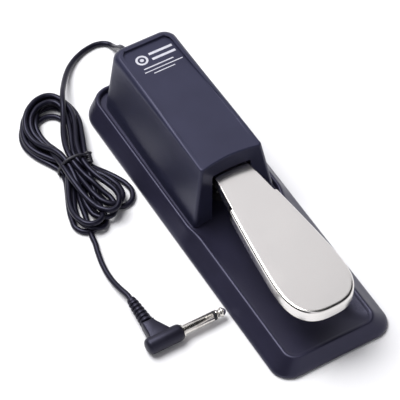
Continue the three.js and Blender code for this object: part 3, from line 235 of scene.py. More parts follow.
def grain(tree, shader, size, depth, detail=2.0, rough=None, strength=1.0):
    """Fine even grain: size is the distance between bumps and depth their height, both in metres."""
    place = add(tree, "TexCoord")
    noise = add(tree, "TexNoise", {"Vector": (place, "Object")}, Scale=1 / size, Detail=detail,
                Roughness=0.6)
    bump = add(tree, "Bump", {"Height": (noise, "Fac")}, Strength=strength, Distance=depth)
    tree.links.new(bump.outputs["Normal"], shader.inputs["Normal"])
    if rough:
        spread = ramp(tree, noise, rough[0], rough[1], (0.35, 0.65))
        tree.links.new(spread.outputs["Result"], shader.inputs["Roughness"])
    return place, noise


def tint(tree, shader, place, size, dark, light, stops=(0.35, 0.65), detail=3.0):
    """Slow colour variation between two hex colours."""
    noise = add(tree, "TexNoise", {"Vector": (place, "Object")}, Scale=1 / size, Detail=detail)
    spread = ramp(tree, noise, 0.0, 1.0, stops)
    mix = add(tree, "Mix", {"Factor": (spread, "Result")}, data_type="RGBA")
    mix.inputs[6].default_value, mix.inputs[7].default_value = linear(dark), linear(light)
    tree.links.new(mix.outputs[2], shader.inputs["Base Color"])


print("helpers ready")

# %% [markdown]
# ### Moulded ABS
# The base and the housing are injection moulded in black ABS (IOR 1.53). The tool is spark eroded,
# which leaves an even, very shallow grain of about 0.3 mm: it spreads every reflection, so the
# black looks slate under a white sky. It is drawn at 0.5 mm and deeper, so that it still shows.

# %% Moulded ABS for the base and the housing
COOL = linear("#DCDBFF")


def moulded_abs(name, dark, light, roughness, specular):
    material, tree, shader = finish(name, IOR=1.53, Specular_IOR_Level=specular,
                                    Specular_Tint=COOL)
    place, _ = grain(tree, shader, 0.0005, 0.00003, rough=(roughness - 0.04, roughness + 0.04),
                     strength=0.35)
    tint(tree, shader, place, 0.03, dark, light)
    return material


base_abs = moulded_abs("moulded_abs_base", "#1F1E2D", "#252435", 0.36, 0.46)
housing_abs = moulded_abs("moulded_abs_housing", "#1F2032", "#252639", 0.38, 0.42)

# %% [markdown]
# ### Bright plate
# The lever is pressed steel, polished and plated with nickel and chrome. Plate is a mirror, yet a
# pressed sheet is never flat: gentle waves of about 14 mm keep its reflections soft. Fine rubbing,
# in patches of a centimetre or two, varies the roughness.

# %% Nickel-chrome plate on pressed steel
plate, plate_tree, plate_shader = finish("chrome_plate_on_pressed_steel", Metallic=1.0,
                                         Base_Color=linear("#EDEAE6"))
plate_place, _ = grain(plate_tree, plate_shader, 0.014, 0.00006, detail=1.0, strength=0.3)
rubbing = add(plate_tree, "TexNoise", {"Vector": (plate_place, "Object")}, Scale=60.0, Detail=3.0,
              Roughness=0.5)
rubbed = ramp(plate_tree, rubbing, 0.17, 0.22, (0.3, 0.8))
plate_tree.links.new(rubbed.outputs["Result"], plate_shader.inputs["Roughness"])

# %% [markdown]
# ### Soft PVC and the small parts
# PVC (IOR 1.53) squeezed out round the cord's wires has a dull skin with a soft, wide highlight.
# The plug, its boot and the relief are moulded over the cord from the same PVC, a little rougher.
# Zinc plate on the screws and brackets is bluish grey and uneven, nylon is black and waxy, and
# felt is fibrous.

# %% Soft PVC
cord_pvc, cord_tree, cord_shader = finish("extruded_pvc_cord", IOR=1.53, Specular_IOR_Level=0.3,
                                         Specular_Tint=COOL)
cord_place, _ = grain(cord_tree, cord_shader, 0.0006, 0.00003, rough=(0.3, 0.38), strength=0.25)
tint(cord_tree, cord_shader, cord_place, 0.02, "#0C0B15", "#12111C")
plug_pvc, plug_tree, plug_shader = finish("moulded_pvc_plug", IOR=1.53, Specular_IOR_Level=0.4,
                                         Specular_Tint=COOL)
plug_place, _ = grain(plug_tree, plug_shader, 0.0005, 0.00004, rough=(0.38, 0.5), strength=0.4)
tint(plug_tree, plug_shader, plug_place, 0.01, "#111019", "#181721")

# %% Metals
def metal(name, dark, light, roughness, grain_size=0.0008):
    material, tree, shader = finish(name, Metallic=1.0)
    place, _ = grain(tree, shader, grain_size, 0.00002,
                     rough=(roughness - 0.05, roughness + 0.08), strength=0.4)
    tint(tree, shader, place, 0.004, dark, light)
    return material


nickel = metal("nickel_plate_on_turned_brass", "#CFCBC4", "#E2DFD9", 0.2)
zinc = metal("zinc_plate_on_steel", "#A9ACAE", "#C6C8C8", 0.36)
steel = metal("drawn_steel", "#9C9EA0", "#B9BABB", 0.26)
tinned = metal("tinned_brass", "#C4BFA8", "#D8D3BF", 0.3)


# %% Plastics, rubber and felt
def small_plastic(name, dark, light, roughness, ior=1.53, size=0.0006, depth=0.00003):
    material, tree, shader = finish(name, IOR=ior)
    place, _ = grain(tree, shader, size, depth, rough=(roughness - 0.05, roughness + 0.05),
                     strength=0.5)
    tint(tree, shader, place, 0.006, dark, light)
    return material


nylon = small_plastic("moulded_black_nylon", "#1A1A1D", "#242427", 0.45)
phenolic = small_plastic("moulded_phenolic_switch", "#16171B", "#1F2025", 0.45)
button = small_plastic("moulded_acetal_button", "#D6D5CE", "#E4E3DD", 0.38)
red_pvc = small_plastic("extruded_pvc_red", "#97202A", "#A92A31", 0.4)
black_pvc = small_plastic("extruded_pvc_black", "#17171B", "#202025", 0.4)
mat_rubber = small_plastic("moulded_rubber_mat", "#19191C", "#222226", 0.75, 1.52, 0.001, 0.0001)
stop_rubber = small_plastic("cut_rubber_pad", "#1B1B1E", "#242428", 0.7, 1.52, 0.001, 0.0001)
tie_wire = small_plastic("coated_tie_wire", "#1B1A23", "#26252F", 0.45)
print_ink = small_plastic("pad_printed_ink", "#B9B9C4", "#C9C9D2", 0.5, 1.5, 0.0004, 0.00001)
felt, felt_tree, felt_shader = finish("pressed_wool_felt", Roughness=0.95, Sheen_Weight=0.4)
felt_place, _ = grain(felt_tree, felt_shader, 0.0008, 0.0004, detail=6.0, strength=0.9)
tint(felt_tree, felt_shader, felt_place, 0.002, "#6B2228", "#86303A")
FINISHES = {
    "tray_abs": base_abs, "housing_abs": housing_abs, "lever_plate": plate, "cord_jacket": cord_pvc,
    "moulded_pvc": plug_pvc, "jack_nickel": nickel, "zinc_steel": zinc, "ballast_steel": zinc,
    "bright_steel": steel, "tinned_brass": tinned, "nylon": nylon, "switch_plastic": phenolic,
    "button_plastic": button, "wire_red": red_pvc, "wire_black": black_pvc, "felt": felt,
    "mat_rubber": mat_rubber, "stop_rubber": stop_rubber, "tie_plastic": tie_wire}
for part in frame["record"]["subparts"]:
    node = frame["nodes"][part["node"]]
    node.data.materials.clear()
    node.data.materials.append(FINISHES[part["material_slot"]])

# %% [markdown]
# ## Skins from rings
# The base, the housing and the lever are all shells with a closed outline that changes from level
# to level. A subdivision surface would round their crisp edges, so each one is lofted: closed rings
# with the same number of points are joined by quads, close together where an edge is rounded.

# %% Rings and lofts
def outline(half, front, rear, corner_front, corner_rear, sag=0.0, stops=(), corner_steps=10,
            edge_steps=6, side_steps=14):
    """A closed outline, mirrored left and right, from the front middle round by the right side."""
    near, far = front + corner_front, rear - corner_rear
    front_flat, rear_flat = half(near) - corner_front, half(far) - corner_rear
    right = []
    for i in range(edge_steps):
        x = front_flat * i / edge_steps
        right.append((x, front + sag * (1 - (x / front_flat) ** 2)))
    for i in range(corner_steps + 1):
        a = math.pi / 2 * i / corner_steps
        right.append((front_flat + corner_front * math.sin(a), near - corner_front * math.cos(a)))
    places = stops or [near + (far - near) * i / side_steps for i in range(1, side_steps)]
    places = [min(max(y, near + 0.2 * (i + 1)), far - 0.2 * (len(places) - i))
              for i, y in enumerate(places)]
    right += [(half(y), y) for y in places]
    for i in range(corner_steps + 1):
        a = math.pi / 2 * i / corner_steps
        right.append((rear_flat + corner_rear * math.cos(a), far + corner_rear * math.sin(a)))
    right += [(rear_flat * (1 - i / edge_steps), rear) for i in range(1, edge_steps + 1)]
    return right + [(-x, y) for x, y in reversed(right[1:-1])]


def loft(name, rings, top="strip", bottom="face"):
    """A mesh through the rings. A cap is one face, or strips between mirrored points."""
    count = len(rings[0])
    points = [tuple(v * MM for v in p) for ring in rings for p in ring]
    faces = []
    for k in range(len(rings) - 1):
        for i in range(count):
            j = (i + 1) % count
            faces.append((k * count + i, k * count + j, (k + 1) * count + j, (k + 1) * count + i))
    for kind, k, flip in ((bottom, 0, True), (top, len(rings) - 1, False)):
        o = k * count
        if kind == "face":
            ends = [tuple(range(o, o + count))]
        else:
            twin = lambda i: o + (count - i) % count
            half = count // 2
            ends = [(o, o + 1, twin(1)), (o + half - 1, o + half, twin(half - 1))]
            ends += [(o + i, o + i + 1, twin(i + 1), twin(i)) for i in range(1, half - 1)]
        faces += [tuple(reversed(f)) for f in ends] if flip else ends
    mesh = bpy.data.meshes.new(name)
    mesh.from_pydata(points, [], faces)
    mesh.validate()
    return put_in_scene(name, mesh)


def smooth(start, end, v):
    t = min(1.0, max(0.0, (v - start) / (end - start)))
    return t * t * (3 - 2 * t)


def mix(a, b, t):
    return a + (b - a) * t


def combine(piece, tool, operation):
    """Takes the tool out of the piece (DIFFERENCE) or joins it on (UNION). The tool is used up."""
    step = piece.modifiers.new("combine", "BOOLEAN")
    step.object, step.operation, step.solver = tool, operation, "EXACT"
    with bpy.context.temp_override(object=piece, active_object=piece):
        bpy.ops.object.modifier_apply(modifier=step.name)
    bpy.data.objects.remove(tool)


def circle(u, v, radius, steps=32):
    angles = [2 * math.pi * k / steps for k in range(steps)]
    return [(u + radius * math.cos(a), v + radius * math.sin(a)) for a in angles]


def shade(piece, material, angle=32):
    """Smooth shading across gentle turns, crisp across sharp ones."""
    piece.data.materials.clear()
    piece.data.materials.append(material)
    piece.data.shade_smooth()
    piece.data.set_sharp_from_angle(angle=math.radians(angle))


def settle(piece, body, slot, *nodes):
    """Gives a piece its body and hides the CAD pieces it stands for. The slot is not used."""
    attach(piece, body)
    if nodes:
        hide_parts(*nodes)
    size = [round(v * 1000, 1) for v in piece.dimensions]
    print(piece.name, "on", body, size, "mm")


# %% [markdown]
# ## The base
# One moulding: a sloping skirt with rounded corners rises to a crest. Beside the lever the crest
# is narrow and the surface inside falls away in a dish, which gives the lever its travel. Round the
# housing it swings out to a raised rim with a rounded bead, and a pocket takes the housing's foot.

# %% The base tray
low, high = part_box("base_tray")
WIDE, LONG = high.x * 1000, high.y * 1000
STEP = (-16.0, -2.0)
rear_share = lambda y: smooth(STEP[0], STEP[1], y)
crest_half = lambda y: mix(WIDE - 9.3, WIDE - 6.3, rear_share(y))
CREST_FRONT, CREST_REAR, CREST_DROP, DISH, POCKET = 11.7, 13.2, 0.9, 8.0, 10.0
EDGE_ROUND = 0.9
tray_stops = [-104, -96, -86, -76, -66, -56, -46, -36, -28, -22, -18, -16, -14.5, -13, -11.5, -10,
              -8.5, -7, -5.5, -4, -2.8, -1, 3, 10, 20, 35, 50, 65, 80, 92, 101]


def skirt_ring(t, z):
    loop = outline(lambda y: mix(WIDE, crest_half(y), t), -LONG + 5.3 * t, LONG - 2.4 * t,
                   mix(12.5, 8, t), mix(18, 12.5, t), stops=tray_stops)
    return [(x, y, z(y) if callable(z) else z) for x, y in loop]


def inner_ring(inset, z_front, z_rear):
    loop = outline(lambda y: crest_half(y) - inset, -LONG + 5.3 + inset, LONG - 2.4 - inset,
                   min(max(8 - inset * 0.6, 5.5), WIDE - 10 - inset),
                   min(max(12.5 - inset * 0.8, 6), WIDE - 7 - inset), stops=tray_stops)
    return [(x, y, mix(z_front, z_rear, rear_share(y))) for x, y in loop]


def hollow_ring(t, inset, z):
    return [(x * (1 - inset / WIDE), y * (1 - inset / LONG), z) for x, y, _ in skirt_ring(t, z)]


FOOT, EDGE = low.z * 1000, low.z * 1000 + 1.6
crest = lambda y: mix(CREST_FRONT, CREST_REAR - CREST_DROP, rear_share(y))
tray_rings = [hollow_ring(1, 6.1, 5.6), hollow_ring(0, 4.1, 3.6), hollow_ring(0, 4.1, FOOT + 0.1),
              hollow_ring(0, 3.7, FOOT), hollow_ring(0, 0.5, FOOT), skirt_ring(0.0, FOOT + 0.35),
              skirt_ring(0, EDGE - 0.3), skirt_ring(0.012, EDGE + 0.15),
              skirt_ring(0.06, EDGE + EDGE_ROUND)]
for t, share in ((0.2, 0.16), (0.35, 0.31), (0.5, 0.47), (0.65, 0.63), (0.8, 0.8)):
    tray_rings.append(skirt_ring(t, lambda y, s=share: mix(EDGE + EDGE_ROUND, crest(y), s)))
tray_rings += [skirt_ring(0.92, lambda y: crest(y) - 0.55), skirt_ring(0.965, lambda y: crest(y) - 0.2),
               skirt_ring(1, crest)]
for inset, front_drop, rear_drop in (
        (0.3, 0.12, 0.45), (0.7, 0.15, 0.78), (1.2, 0.05, 0.9), (1.7, -0.12, 0.86), (2.2, -0.33, 0.6),
        (2.55, -0.48, 0.15), (2.8, -0.58, -0.5), (2.95, -0.64, None), (3.2, -0.72, None),
        (5, -1.25, None), (7, -1.8, None), (10, -2.4, None), (13, -2.85, None), (16.5, -3.2, None),
        (20, -3.5, None), (27, None, None)):
    z_front = DISH if front_drop is None else CREST_FRONT + front_drop
    z_rear = POCKET if rear_drop is None else CREST_REAR - CREST_DROP + rear_drop
    tray_rings.append(inner_ring(inset, z_front, z_rear))
tray = loft("base_tray_moulding", tray_rings)
shade(tray, base_abs, 40)
settle(tray, "base", "tray_abs", "base_tray")

# %% [markdown]
# ## The housing
# A tapered cover with sharp front edges and soft rear ones. Its top sinks towards the rear inside a
# raised border. The skin is lofted from the foot up the sides, over the shoulder, across the border
# and down to the panel; then the mouth and the cord's hole are carved out.

# %% The housing
FRONT_FOOT, FRONT_TOP, REAR_FOOT, REAR_TOP = -5.4, -0.5, 114.4, 113.2
HALF_FOOT, HALF_TOP = 29.2, 21.4
hl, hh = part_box("housing_shell")
ROOF, SOLE = hh.z * 1000, hl.z * 1000
CEILING, WALL = ROOF - 4, 2.5
CORNER_FRONT, CORNER_REAR, SHOULDER_FRONT, SHOULDER_REAR = 2.0, 8, 1.0, 4.4
PANEL_BORDER, PANEL_SINK = 2.6, 1.8
CORD_Z, CORD_HOLE = 24, 4.5
LEVEL = lambda z: (z - SOLE) / (ROOF - SOLE)


def housing_ring(z, inset=0.0, grow=0.0, level=None, sag=2.2):
    """An outline of the housing at a height, moved inwards by inset."""
    t = LEVEL(z)
    loop = outline(
        lambda y: mix(HALF_FOOT, HALF_TOP, t) - 0.9 * smooth(19.6, 114.4, y) * (1 - t) - inset,
        mix(FRONT_FOOT, FRONT_TOP, t) + inset, mix(REAR_FOOT, REAR_TOP, t) - inset,
        max(CORNER_FRONT - grow, 0.8), max(CORNER_REAR - grow, 1.2), sag=sag)
    return [(x, y, z if level is None else level(y)) for x, y in loop]


def shoulder_ring(turn, extra=0.0, drop=0.0):
    """A ring on the rounded edge of the top: sharp in front, soft behind."""
    a = math.pi / 2 * turn
    middle, reach = (FRONT_TOP + REAR_TOP) / 2, (REAR_TOP - FRONT_TOP) / 2
    ring = []
    for x, y, _ in housing_ring(ROOF):
        r = mix(SHOULDER_FRONT, SHOULDER_REAR, smooth(-0.4, 106.4, y))
        z = ROOF - r * (1 - math.sin(a))
        t = LEVEL(z)
        inset = r * (1 - math.cos(a)) + extra
        share = (y - middle) / reach
        to_rear = mix(REAR_FOOT, REAR_TOP, t) - middle
        to_front = middle - mix(FRONT_FOOT, FRONT_TOP, t)
        end = to_rear if share > 0 else to_front
        ring.append((x * mix(HALF_FOOT, HALF_TOP, t) / HALF_TOP * (1 - inset / HALF_TOP),
                     middle + share * (end - inset), z - drop))
    return ring


PANEL_FROM, PANEL_TO = FRONT_TOP + 3.2, REAR_TOP - 5.6
sink = lambda y: PANEL_SINK * smooth(0, 1, (y - PANEL_FROM) / (PANEL_TO - PANEL_FROM))


def panel_ring(inset, share):
    """A ring of the sunk panel: share 0 is the border's edge and 1 the floor of the panel."""
    loop = outline(lambda y: HALF_TOP - PANEL_BORDER - inset, PANEL_FROM + inset, PANEL_TO - inset,
                   max(1.2 - inset, 0.4), max(4.5 - inset, 0.8))
    return [(x, y, ROOF - sink(y) * share) for x, y in loop]


housing_rings = [housing_ring(CEILING, WALL, 1.2), housing_ring(SOLE + 0.3, WALL, 1.2),
                 housing_ring(SOLE, WALL - 0.3, 1.2), housing_ring(SOLE, 0.3), housing_ring(SOLE + 0.3)]
housing_rings += [housing_ring(mix(SOLE, ROOF - SHOULDER_REAR, k / 5)) for k in range(1, 5)]
housing_rings += [shoulder_ring(k / 8) for k in range(9)]
housing_rings += [panel_ring(-0.12, 0.0), panel_ring(0.0, 0.02), panel_ring(0.12, 0.2),
                  panel_ring(0.3, 0.85),
                  panel_ring(0.5, 0.98), panel_ring(0.9, 1.0), panel_ring(4.0, 1.0)]
housing = loft("housing_cover", housing_rings)

MOUTH_TOP, MOUTH_HALF_TOP, MOUTH_HALF_FOOT, MOUTH_ROUND = 45.6, 13.5, 15.6, 1
mouth_shape = [(-MOUTH_HALF_FOOT - 0.5, SOLE - 4), (MOUTH_HALF_FOOT + 0.5, SOLE - 4)]
for k in range(7):
    a = math.pi / 2 * k / 6
    mouth_shape.append((MOUTH_HALF_TOP + MOUTH_ROUND * (math.cos(a) - 1),
                        MOUTH_TOP + MOUTH_ROUND * (math.sin(a) - 1)))
mouth_shape += [(-x, z) for x, z in reversed(mouth_shape[2:])]
mouth = loft("mouth_tool", [[(x, y, z) for x, z in mouth_shape] for y in (8, -9)], top="face")
combine(housing, mouth, "DIFFERENCE")
hole_shape = circle(0, CORD_Z, CORD_HOLE)
hole = loft("cord_hole_tool", [[(x, y, z) for x, z in hole_shape] for y in (122, 104)], top="face")
combine(housing, hole, "DIFFERENCE")
shade(housing, housing_abs, 12.5)
settle(housing, "base", "housing_abs", "housing_shell")

# %% [markdown]
# ## The lever
# A pressed steel plate: flat on top, narrow behind and wide at the toe, its edge rolled down all
# round the front part. Behind the housing's mouth it is a plain channel with two cheeks for the
# axle. It is lofted like the press forms it: one outline, pushed outwards and down along the roll.

# %% The lever
LEVER_TOP, MOUTH_Y, NOTCH_Y, TOE_Y, TAIL_Y = 44.2, -1.8, -25.8, -115.2, 75.2
NECK_HALF, TOE_HALF, LEVER_ROLL, LEVER_DEEP, SHEET = 11.8, 21.1, 1.8, 8.8, 2.0
PIVOT_Y, PIVOT_Z, AXLE_HOLE, SLOPE = 45.2, 33.0, 3.4, 0.0205


def lever_half(y):
    if y > MOUTH_Y:
        return NECK_HALF
    s = (MOUTH_Y - y) / 84.2
    return NECK_HALF + (TOE_HALF - NECK_HALF) * min(1, s * 1.12 - 0.12 * s ** 4)


def lever_ring(push, z):
    """The lever's outline pushed outwards by push(y)."""
    toe_from, power, right = TOE_Y + 26.2, 2.7, []
    for i in range(29):
        a = math.pi / 2 * i / 28
        right.append((lever_half(toe_from) * math.sin(a) ** (2 / power),
                      toe_from + (TOE_Y - toe_from) * math.cos(a) ** (2 / power)))
    right += [(lever_half(y), y) for y in
              [mix(toe_from, NOTCH_Y - 1.2, i / 16) for i in range(1, 16)]
              + [NOTCH_Y - 1.2, NOTCH_Y - 0.8, NOTCH_Y - 0.4, NOTCH_Y, NOTCH_Y + 6, NOTCH_Y + 12,
                 MOUTH_Y - 4, MOUTH_Y, 10, 24, 38, 50, 62]]
    right += [(NECK_HALF, TAIL_Y), (0, TAIL_Y)]
    loop = right + [(-x, y) for x, y in reversed(right[1:-1])]
    ring = []
    for i, (x, y) in enumerate(loop):
        (px, py), (nx, ny) = loop[i - 1], loop[(i + 1) % len(loop)]
        size = math.hypot(nx - px, ny - py)
        out = push(y)
        x, y = x + (ny - py) / size * out, y - (nx - px) / size * out
        level = z(y) if callable(z) else z
        ring.append((x, MOUTH_Y + (y - MOUTH_Y) * math.cos(TILT) - level * math.sin(TILT),
                     LEVER_TOP + (y - MOUTH_Y) * math.sin(TILT) + level * math.cos(TILT)))
    return ring


TILT = math.atan(SLOPE)
front_of = lambda y: 1 - smooth(NOTCH_Y - 1.0, NOTCH_Y - 0.2, y)
rolled = lambda inset: lambda y: front_of(y) * LEVER_ROLL - inset
lever_rings = [lever_ring(rolled(SHEET + 0.9), -SHEET), lever_ring(rolled(SHEET), -SHEET - 1),
               lever_ring(rolled(SHEET), -LEVER_DEEP + 0.2),
               lever_ring(rolled(SHEET - 0.2), -LEVER_DEEP),
               lever_ring(rolled(0.25), -LEVER_DEEP), lever_ring(rolled(0), -LEVER_DEEP + 0.25)]
for k in range(9):
    a = math.pi / 2 * (1 - k / 8)
    push = lambda y, s=math.sin(a): (front_of(y) * LEVER_ROLL * s
                                     - (1 - front_of(y)) * 0.35 * (1 - s))
    sink_by = lambda y, c=1 - math.cos(a): -mix(0.5, LEVER_ROLL, front_of(y)) * c
    lever_rings.append(lever_ring(push, sink_by))
lever_rings.append(lever_ring(lambda y: -0.8, 0))
lever = loft("pressed_lever", lever_rings, top="strip", bottom="strip")
high_z, low_z = LEVER_TOP - LEVER_DEEP + 3.6, PIVOT_Z - 5.4
cheek_shape = [(PIVOT_Y - 9, high_z), (PIVOT_Y - 7, PIVOT_Z - 2), (PIVOT_Y - 4, low_z),
               (PIVOT_Y + 4, low_z), (PIVOT_Y + 7, PIVOT_Z - 2), (PIVOT_Y + 9, high_z)]
for x in (-NECK_HALF, NECK_HALF - SHEET):
    cheek = loft("cheek", [[(edge, y, z) for y, z in cheek_shape] for edge in (x, x + SHEET)],
                 top="face")
    combine(lever, cheek, "UNION")
axle_shape = circle(PIVOT_Y, PIVOT_Z, AXLE_HOLE)
axle_tool = loft("axle_tool", [[(x, y, z) for y, z in axle_shape] for x in (-20, 20)], top="face")
combine(lever, axle_tool, "DIFFERENCE")
shade(lever, plate, 40)
settle(lever, "lever", "lever_plate", "pedal_lever")

# %% [markdown]
# ## Turned and moulded round pieces
# The relief, the plug's boot, its barrel and the jack are all round, so each is a profile spun
# about its own line. The ribs of the relief and the boot are flexing collars moulded over the cord.

# %% Spun profiles
def spun(name, profile, axis, origin, steps=48):
    """A closed profile (radius, along) spun about a line along X or Y. Millimetres."""
    mesh, work = bpy.data.meshes.new(name), bmesh.new()
    rows = []
    for radius, along in profile:
        row = []
        for k in range(steps if radius > 1e-6 else 1):
            a = 2 * math.pi * k / steps
            u, w = radius * math.cos(a), radius * math.sin(a)
            place = (along, u, w) if axis == "X" else (u, along, w)
            row.append(work.verts.new([(p + o) * MM for p, o in zip(place, origin)]))
        rows.append(row)
    for a, b in zip(rows, rows[1:]):
        for k in range(steps):
            m = (k + 1) % steps
            quad = [a[k % len(a)], a[m % len(a)], b[m % len(b)], b[k % len(b)]]
            corners = list(dict.fromkeys(quad))
            if len(corners) > 2:
                work.faces.new(corners)
    bmesh.ops.recalc_face_normals(work, faces=work.faces)
    work.to_mesh(mesh)
    work.free()
    return put_in_scene(name, mesh)


def ribbed(y, pitch, count, wide_first, wide_last, groove):
    """Collars with rounded crowns, one after another along the line."""
    points = []
    for i in range(count):
        w, o = mix(wide_first, wide_last, i / count), y + pitch * i
        points += [(w - groove, o), (w - 0.25, o + 0.04 * pitch), (w, o + 0.14 * pitch),
                   (w, o + 0.5 * pitch), (w - 0.25, o + 0.62 * pitch), (w - groove, o + 0.68 * pitch)]
    return points


RELIEF_FROM, RELIEF_TIP, RELIEF_RIBS = 117.1, 132, 5
relief_pitch = (RELIEF_TIP - 1.4 - RELIEF_FROM) / RELIEF_RIBS
relief = spun("ribbed_relief", [
    (0, 108.9), (5.6, 108.9), (5.8, 109.1), (5.8, 110.7), (5.6, 110.9), (4.1, 110.9), (4.1, 114.7),
    (5.1, 114.7), (5.4, 115), (5.4, 115.9), (5.1, 116.3), (4.4, 116.6)]
    + ribbed(RELIEF_FROM, relief_pitch, RELIEF_RIBS, 4.3, 3.1, 0.75)
    + [(2.9, 130.8), (2.8, 131.6), (2.5, RELIEF_TIP), (0, RELIEF_TIP)], "Y", (0, 0, CORD_Z))
shade(relief, plug_pvc, 50)
settle(relief, "base", "moulded_pvc", "strain_relief")

PLUG = (-72.6, -64.7, 5.6)
BOOT_LONG, BOOT_RIBS, ARM_LONG, ARM_MIDDLE = 19.9, 6, 15.8, -14.6
boot_from = PLUG[1] + ARM_LONG
boot_to = boot_from + BOOT_LONG
boot_pitch = (BOOT_LONG - 2) / BOOT_RIBS
boot = spun("plug_boot_moulding", [(0, boot_from), (3.4, boot_from)]
            + ribbed(boot_from, boot_pitch, BOOT_RIBS, 4.3, 3.1, 0.8)
            + [(3, boot_to - 1.9), (2.8, boot_to - 0.9), (2.5, boot_to), (0, boot_to)],
            "Y", (PLUG[0] + ARM_MIDDLE, 0, PLUG[2]))
shade(boot, plug_pvc, 50)
settle(boot, "base", "moulded_pvc", "plug_boot")

# %% The right-angle plug
R = 5.3
barrel = spun("plug_moulding", [(0, -24), (R - 2.7, -23.8), (R - 1.6, -23.35), (R - 0.9, -22.8),
                                (R - 0.35, -22), (R, -20.8), (R, -2.8), (R - 0.15, -1.6),
                                (R - 0.5, -0.6), (R - 0.9, -0.1), (R - 1.4, 0), (0, 0)], "X", PLUG)
arm_shape = [(-19.8, 1), (-3.4, 1), (-4.8, 3.3), (-7.3, 8.1), (-9.8, 12.7), (-10.3, 14.2), (-10.6, 15.5),
             (-18.6, 15.5), (-19.1, 12), (-19.5, 6)]


def arm_ring(inset, z):
    ring = []
    for i, (x, y) in enumerate(arm_shape):
        (px, py), (nx, ny) = arm_shape[i - 1], arm_shape[(i + 1) % len(arm_shape)]
        size = math.hypot(nx - px, ny - py)
        x, y = x - (ny - py) / size * inset, y + (nx - px) / size * inset
        ring.append((x + PLUG[0], min(y, 15.5) + PLUG[1], z + PLUG[2]))
    return ring


ARM_EDGE = [(1.3, 4.2), (0.9, 4.0), (0.45, 3.5), (0.15, 2.8), (0, 2)]
arm = loft("arm", [arm_ring(inset, -z) for inset, z in ARM_EDGE]
           + [arm_ring(inset, z) for inset, z in reversed(ARM_EDGE)], top="face")
combine(barrel, arm, "UNION")
shade(barrel, plug_pvc, 40)
settle(barrel, "base", "moulded_pvc", "plug_body")

# %% The jack
JR = 3.175
sleeve = spun("jack_sleeve_turned", [(0, 0.3), (JR + 0.9, 0.3), (JR + 0.9, 1.0), (JR + 0.7, 1.2), (JR, 1.2),
                                     (JR, 21.1), (JR - 0.25, 21.4), (0, 21.4)], "X", PLUG)
shade(sleeve, nickel, 40)
settle(sleeve, "base", "jack_nickel", "jack_sleeve")
insulator = spun("jack_insulator_moulded", [(0, 21.7), (JR - 0.15, 21.7), (JR - 0.15, 22.9), (0, 22.9)],
                 "X", PLUG)
shade(insulator, phenolic, 40)
settle(insulator, "base", "switch_plastic", "jack_insulator")
tip = spun("jack_tip_turned", [
    (0, 23.2), (JR - 0.3, 23.2), (JR - 0.05, 23.4), (JR, 23.7), (JR - 0.05, 24.2), (JR - 0.5, 24.8),
    (JR - 0.9, 25.3), (JR - 1, 25.6), (JR - 0.85, 26), (JR - 0.4, 26.7), (JR - 0.1, 27.3),
    (JR - 0.15, 27.8), (JR - 0.7, 28.7), (JR - 1.5, 29.6), (JR - 2.2, 30.2), (JR - 2.8, 30.45),
    (0, 30.5)], "X", PLUG)
shade(tip, nickel, 40)
settle(tip, "base", "jack_nickel", "jack_tip")

# %% [markdown]
# ## The wire tie
# A plastic coated wire goes once round the waist of the hank and its two ends are twisted together
# at the side. It is a stiff piece of wire, so three curves are enough: the loop, and the twist's
# two strands.

# %% The tie
WAIST, LEAN = (-66.9, 79.5), -0.12
tie_side = lambda u, w, z: Vector((WAIST[0] + u * math.cos(LEAN) - w * math.sin(LEAN),
                                   WAIST[1] + u * math.sin(LEAN) + w * math.cos(LEAN), z)) * MM
loop_points = [(-10.2, 1.0), (-11.0, 3.2), (-10.7, 6.4), (-8.6, 10.6), (-4.8, 13.9), (0, 14.9),
               (4.2, 14.2), (7.2, 12.2), (8.8, 9.6), (9.6, 7.6)]
tie_loop = run_curve("tie_loop", [tie_side(u, 0.25 * math.sin(u / 4), z) for u, z in loop_points],
                     0.0019, 8, 4)
twist = []
for strand in (0, 1):
    coil = []
    for k in range(22):
        a = k * 0.75 + strand * math.pi
        spread = 1.05 * (1 if k < 17 else 1 + 0.25 * (k - 17))
        coil.append(tie_side(8.8 + 0.06 * k + 0.4 * math.cos(a), -4.2 + 0.38 * k + 0.2 * math.sin(a),
                             8.6 + spread * math.sin(a) + 0.02 * k)
                    + Vector((spread * math.cos(a) * 0.9 * MM, 0, 0)))
    twist.append(run_curve("tie_twist_%d" % strand, coil, 0.0018, 6, 4))
for piece in [tie_loop] + twist:
    piece.data.materials.append(tie_wire)
    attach(piece, "base")
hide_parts("cord_tie")
print("tie on base,", 1 + len(twist), "curves")

# %% [markdown]
# ## The print on the panel
# A real pedal has a mark printed on the panel. Here it is a generic one: a ring with a dot, a bar
# beside it, and three thin bars below in place of small print. Pad printed ink is a thin film, so
# the print is a set of flat shapes, 0.03 mm above the panel, which follow its slope.

# %% Printed shapes
def on_panel(x, y):
    return (x, y, ROOF - sink(y) + 0.03)


def film(name, strips):
    """Thin flat shapes on the panel: each strip is two rows of points."""
    points, faces = [], []
    for left, right in strips:
        o = len(points)
        points += [tuple(v * MM for v in on_panel(*p)) for pair in zip(left, right) for p in pair]
        faces += [(o + 2 * k, o + 2 * k + 2, o + 2 * k + 3, o + 2 * k + 1) for k in range(len(left) - 1)]
    mesh = bpy.data.meshes.new(name)
    mesh.from_pydata(points, [], faces)
    work = bmesh.new()
    work.from_mesh(mesh)
    for face in work.faces:
        face.normal_update()
        if face.normal.z < 0:
            face.normal_flip()
    work.to_mesh(mesh)
    work.free()
    piece = put_in_scene(name, mesh)
    mesh.materials.append(print_ink)
    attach(piece, "base")
    return piece


def bar(x0, x1, y, tall):
    xs = [mix(x0, x1, k / 12) for k in range(13)]
    return [(x, y - tall / 2) for x in xs], [(x, y + tall / 2) for x in xs]


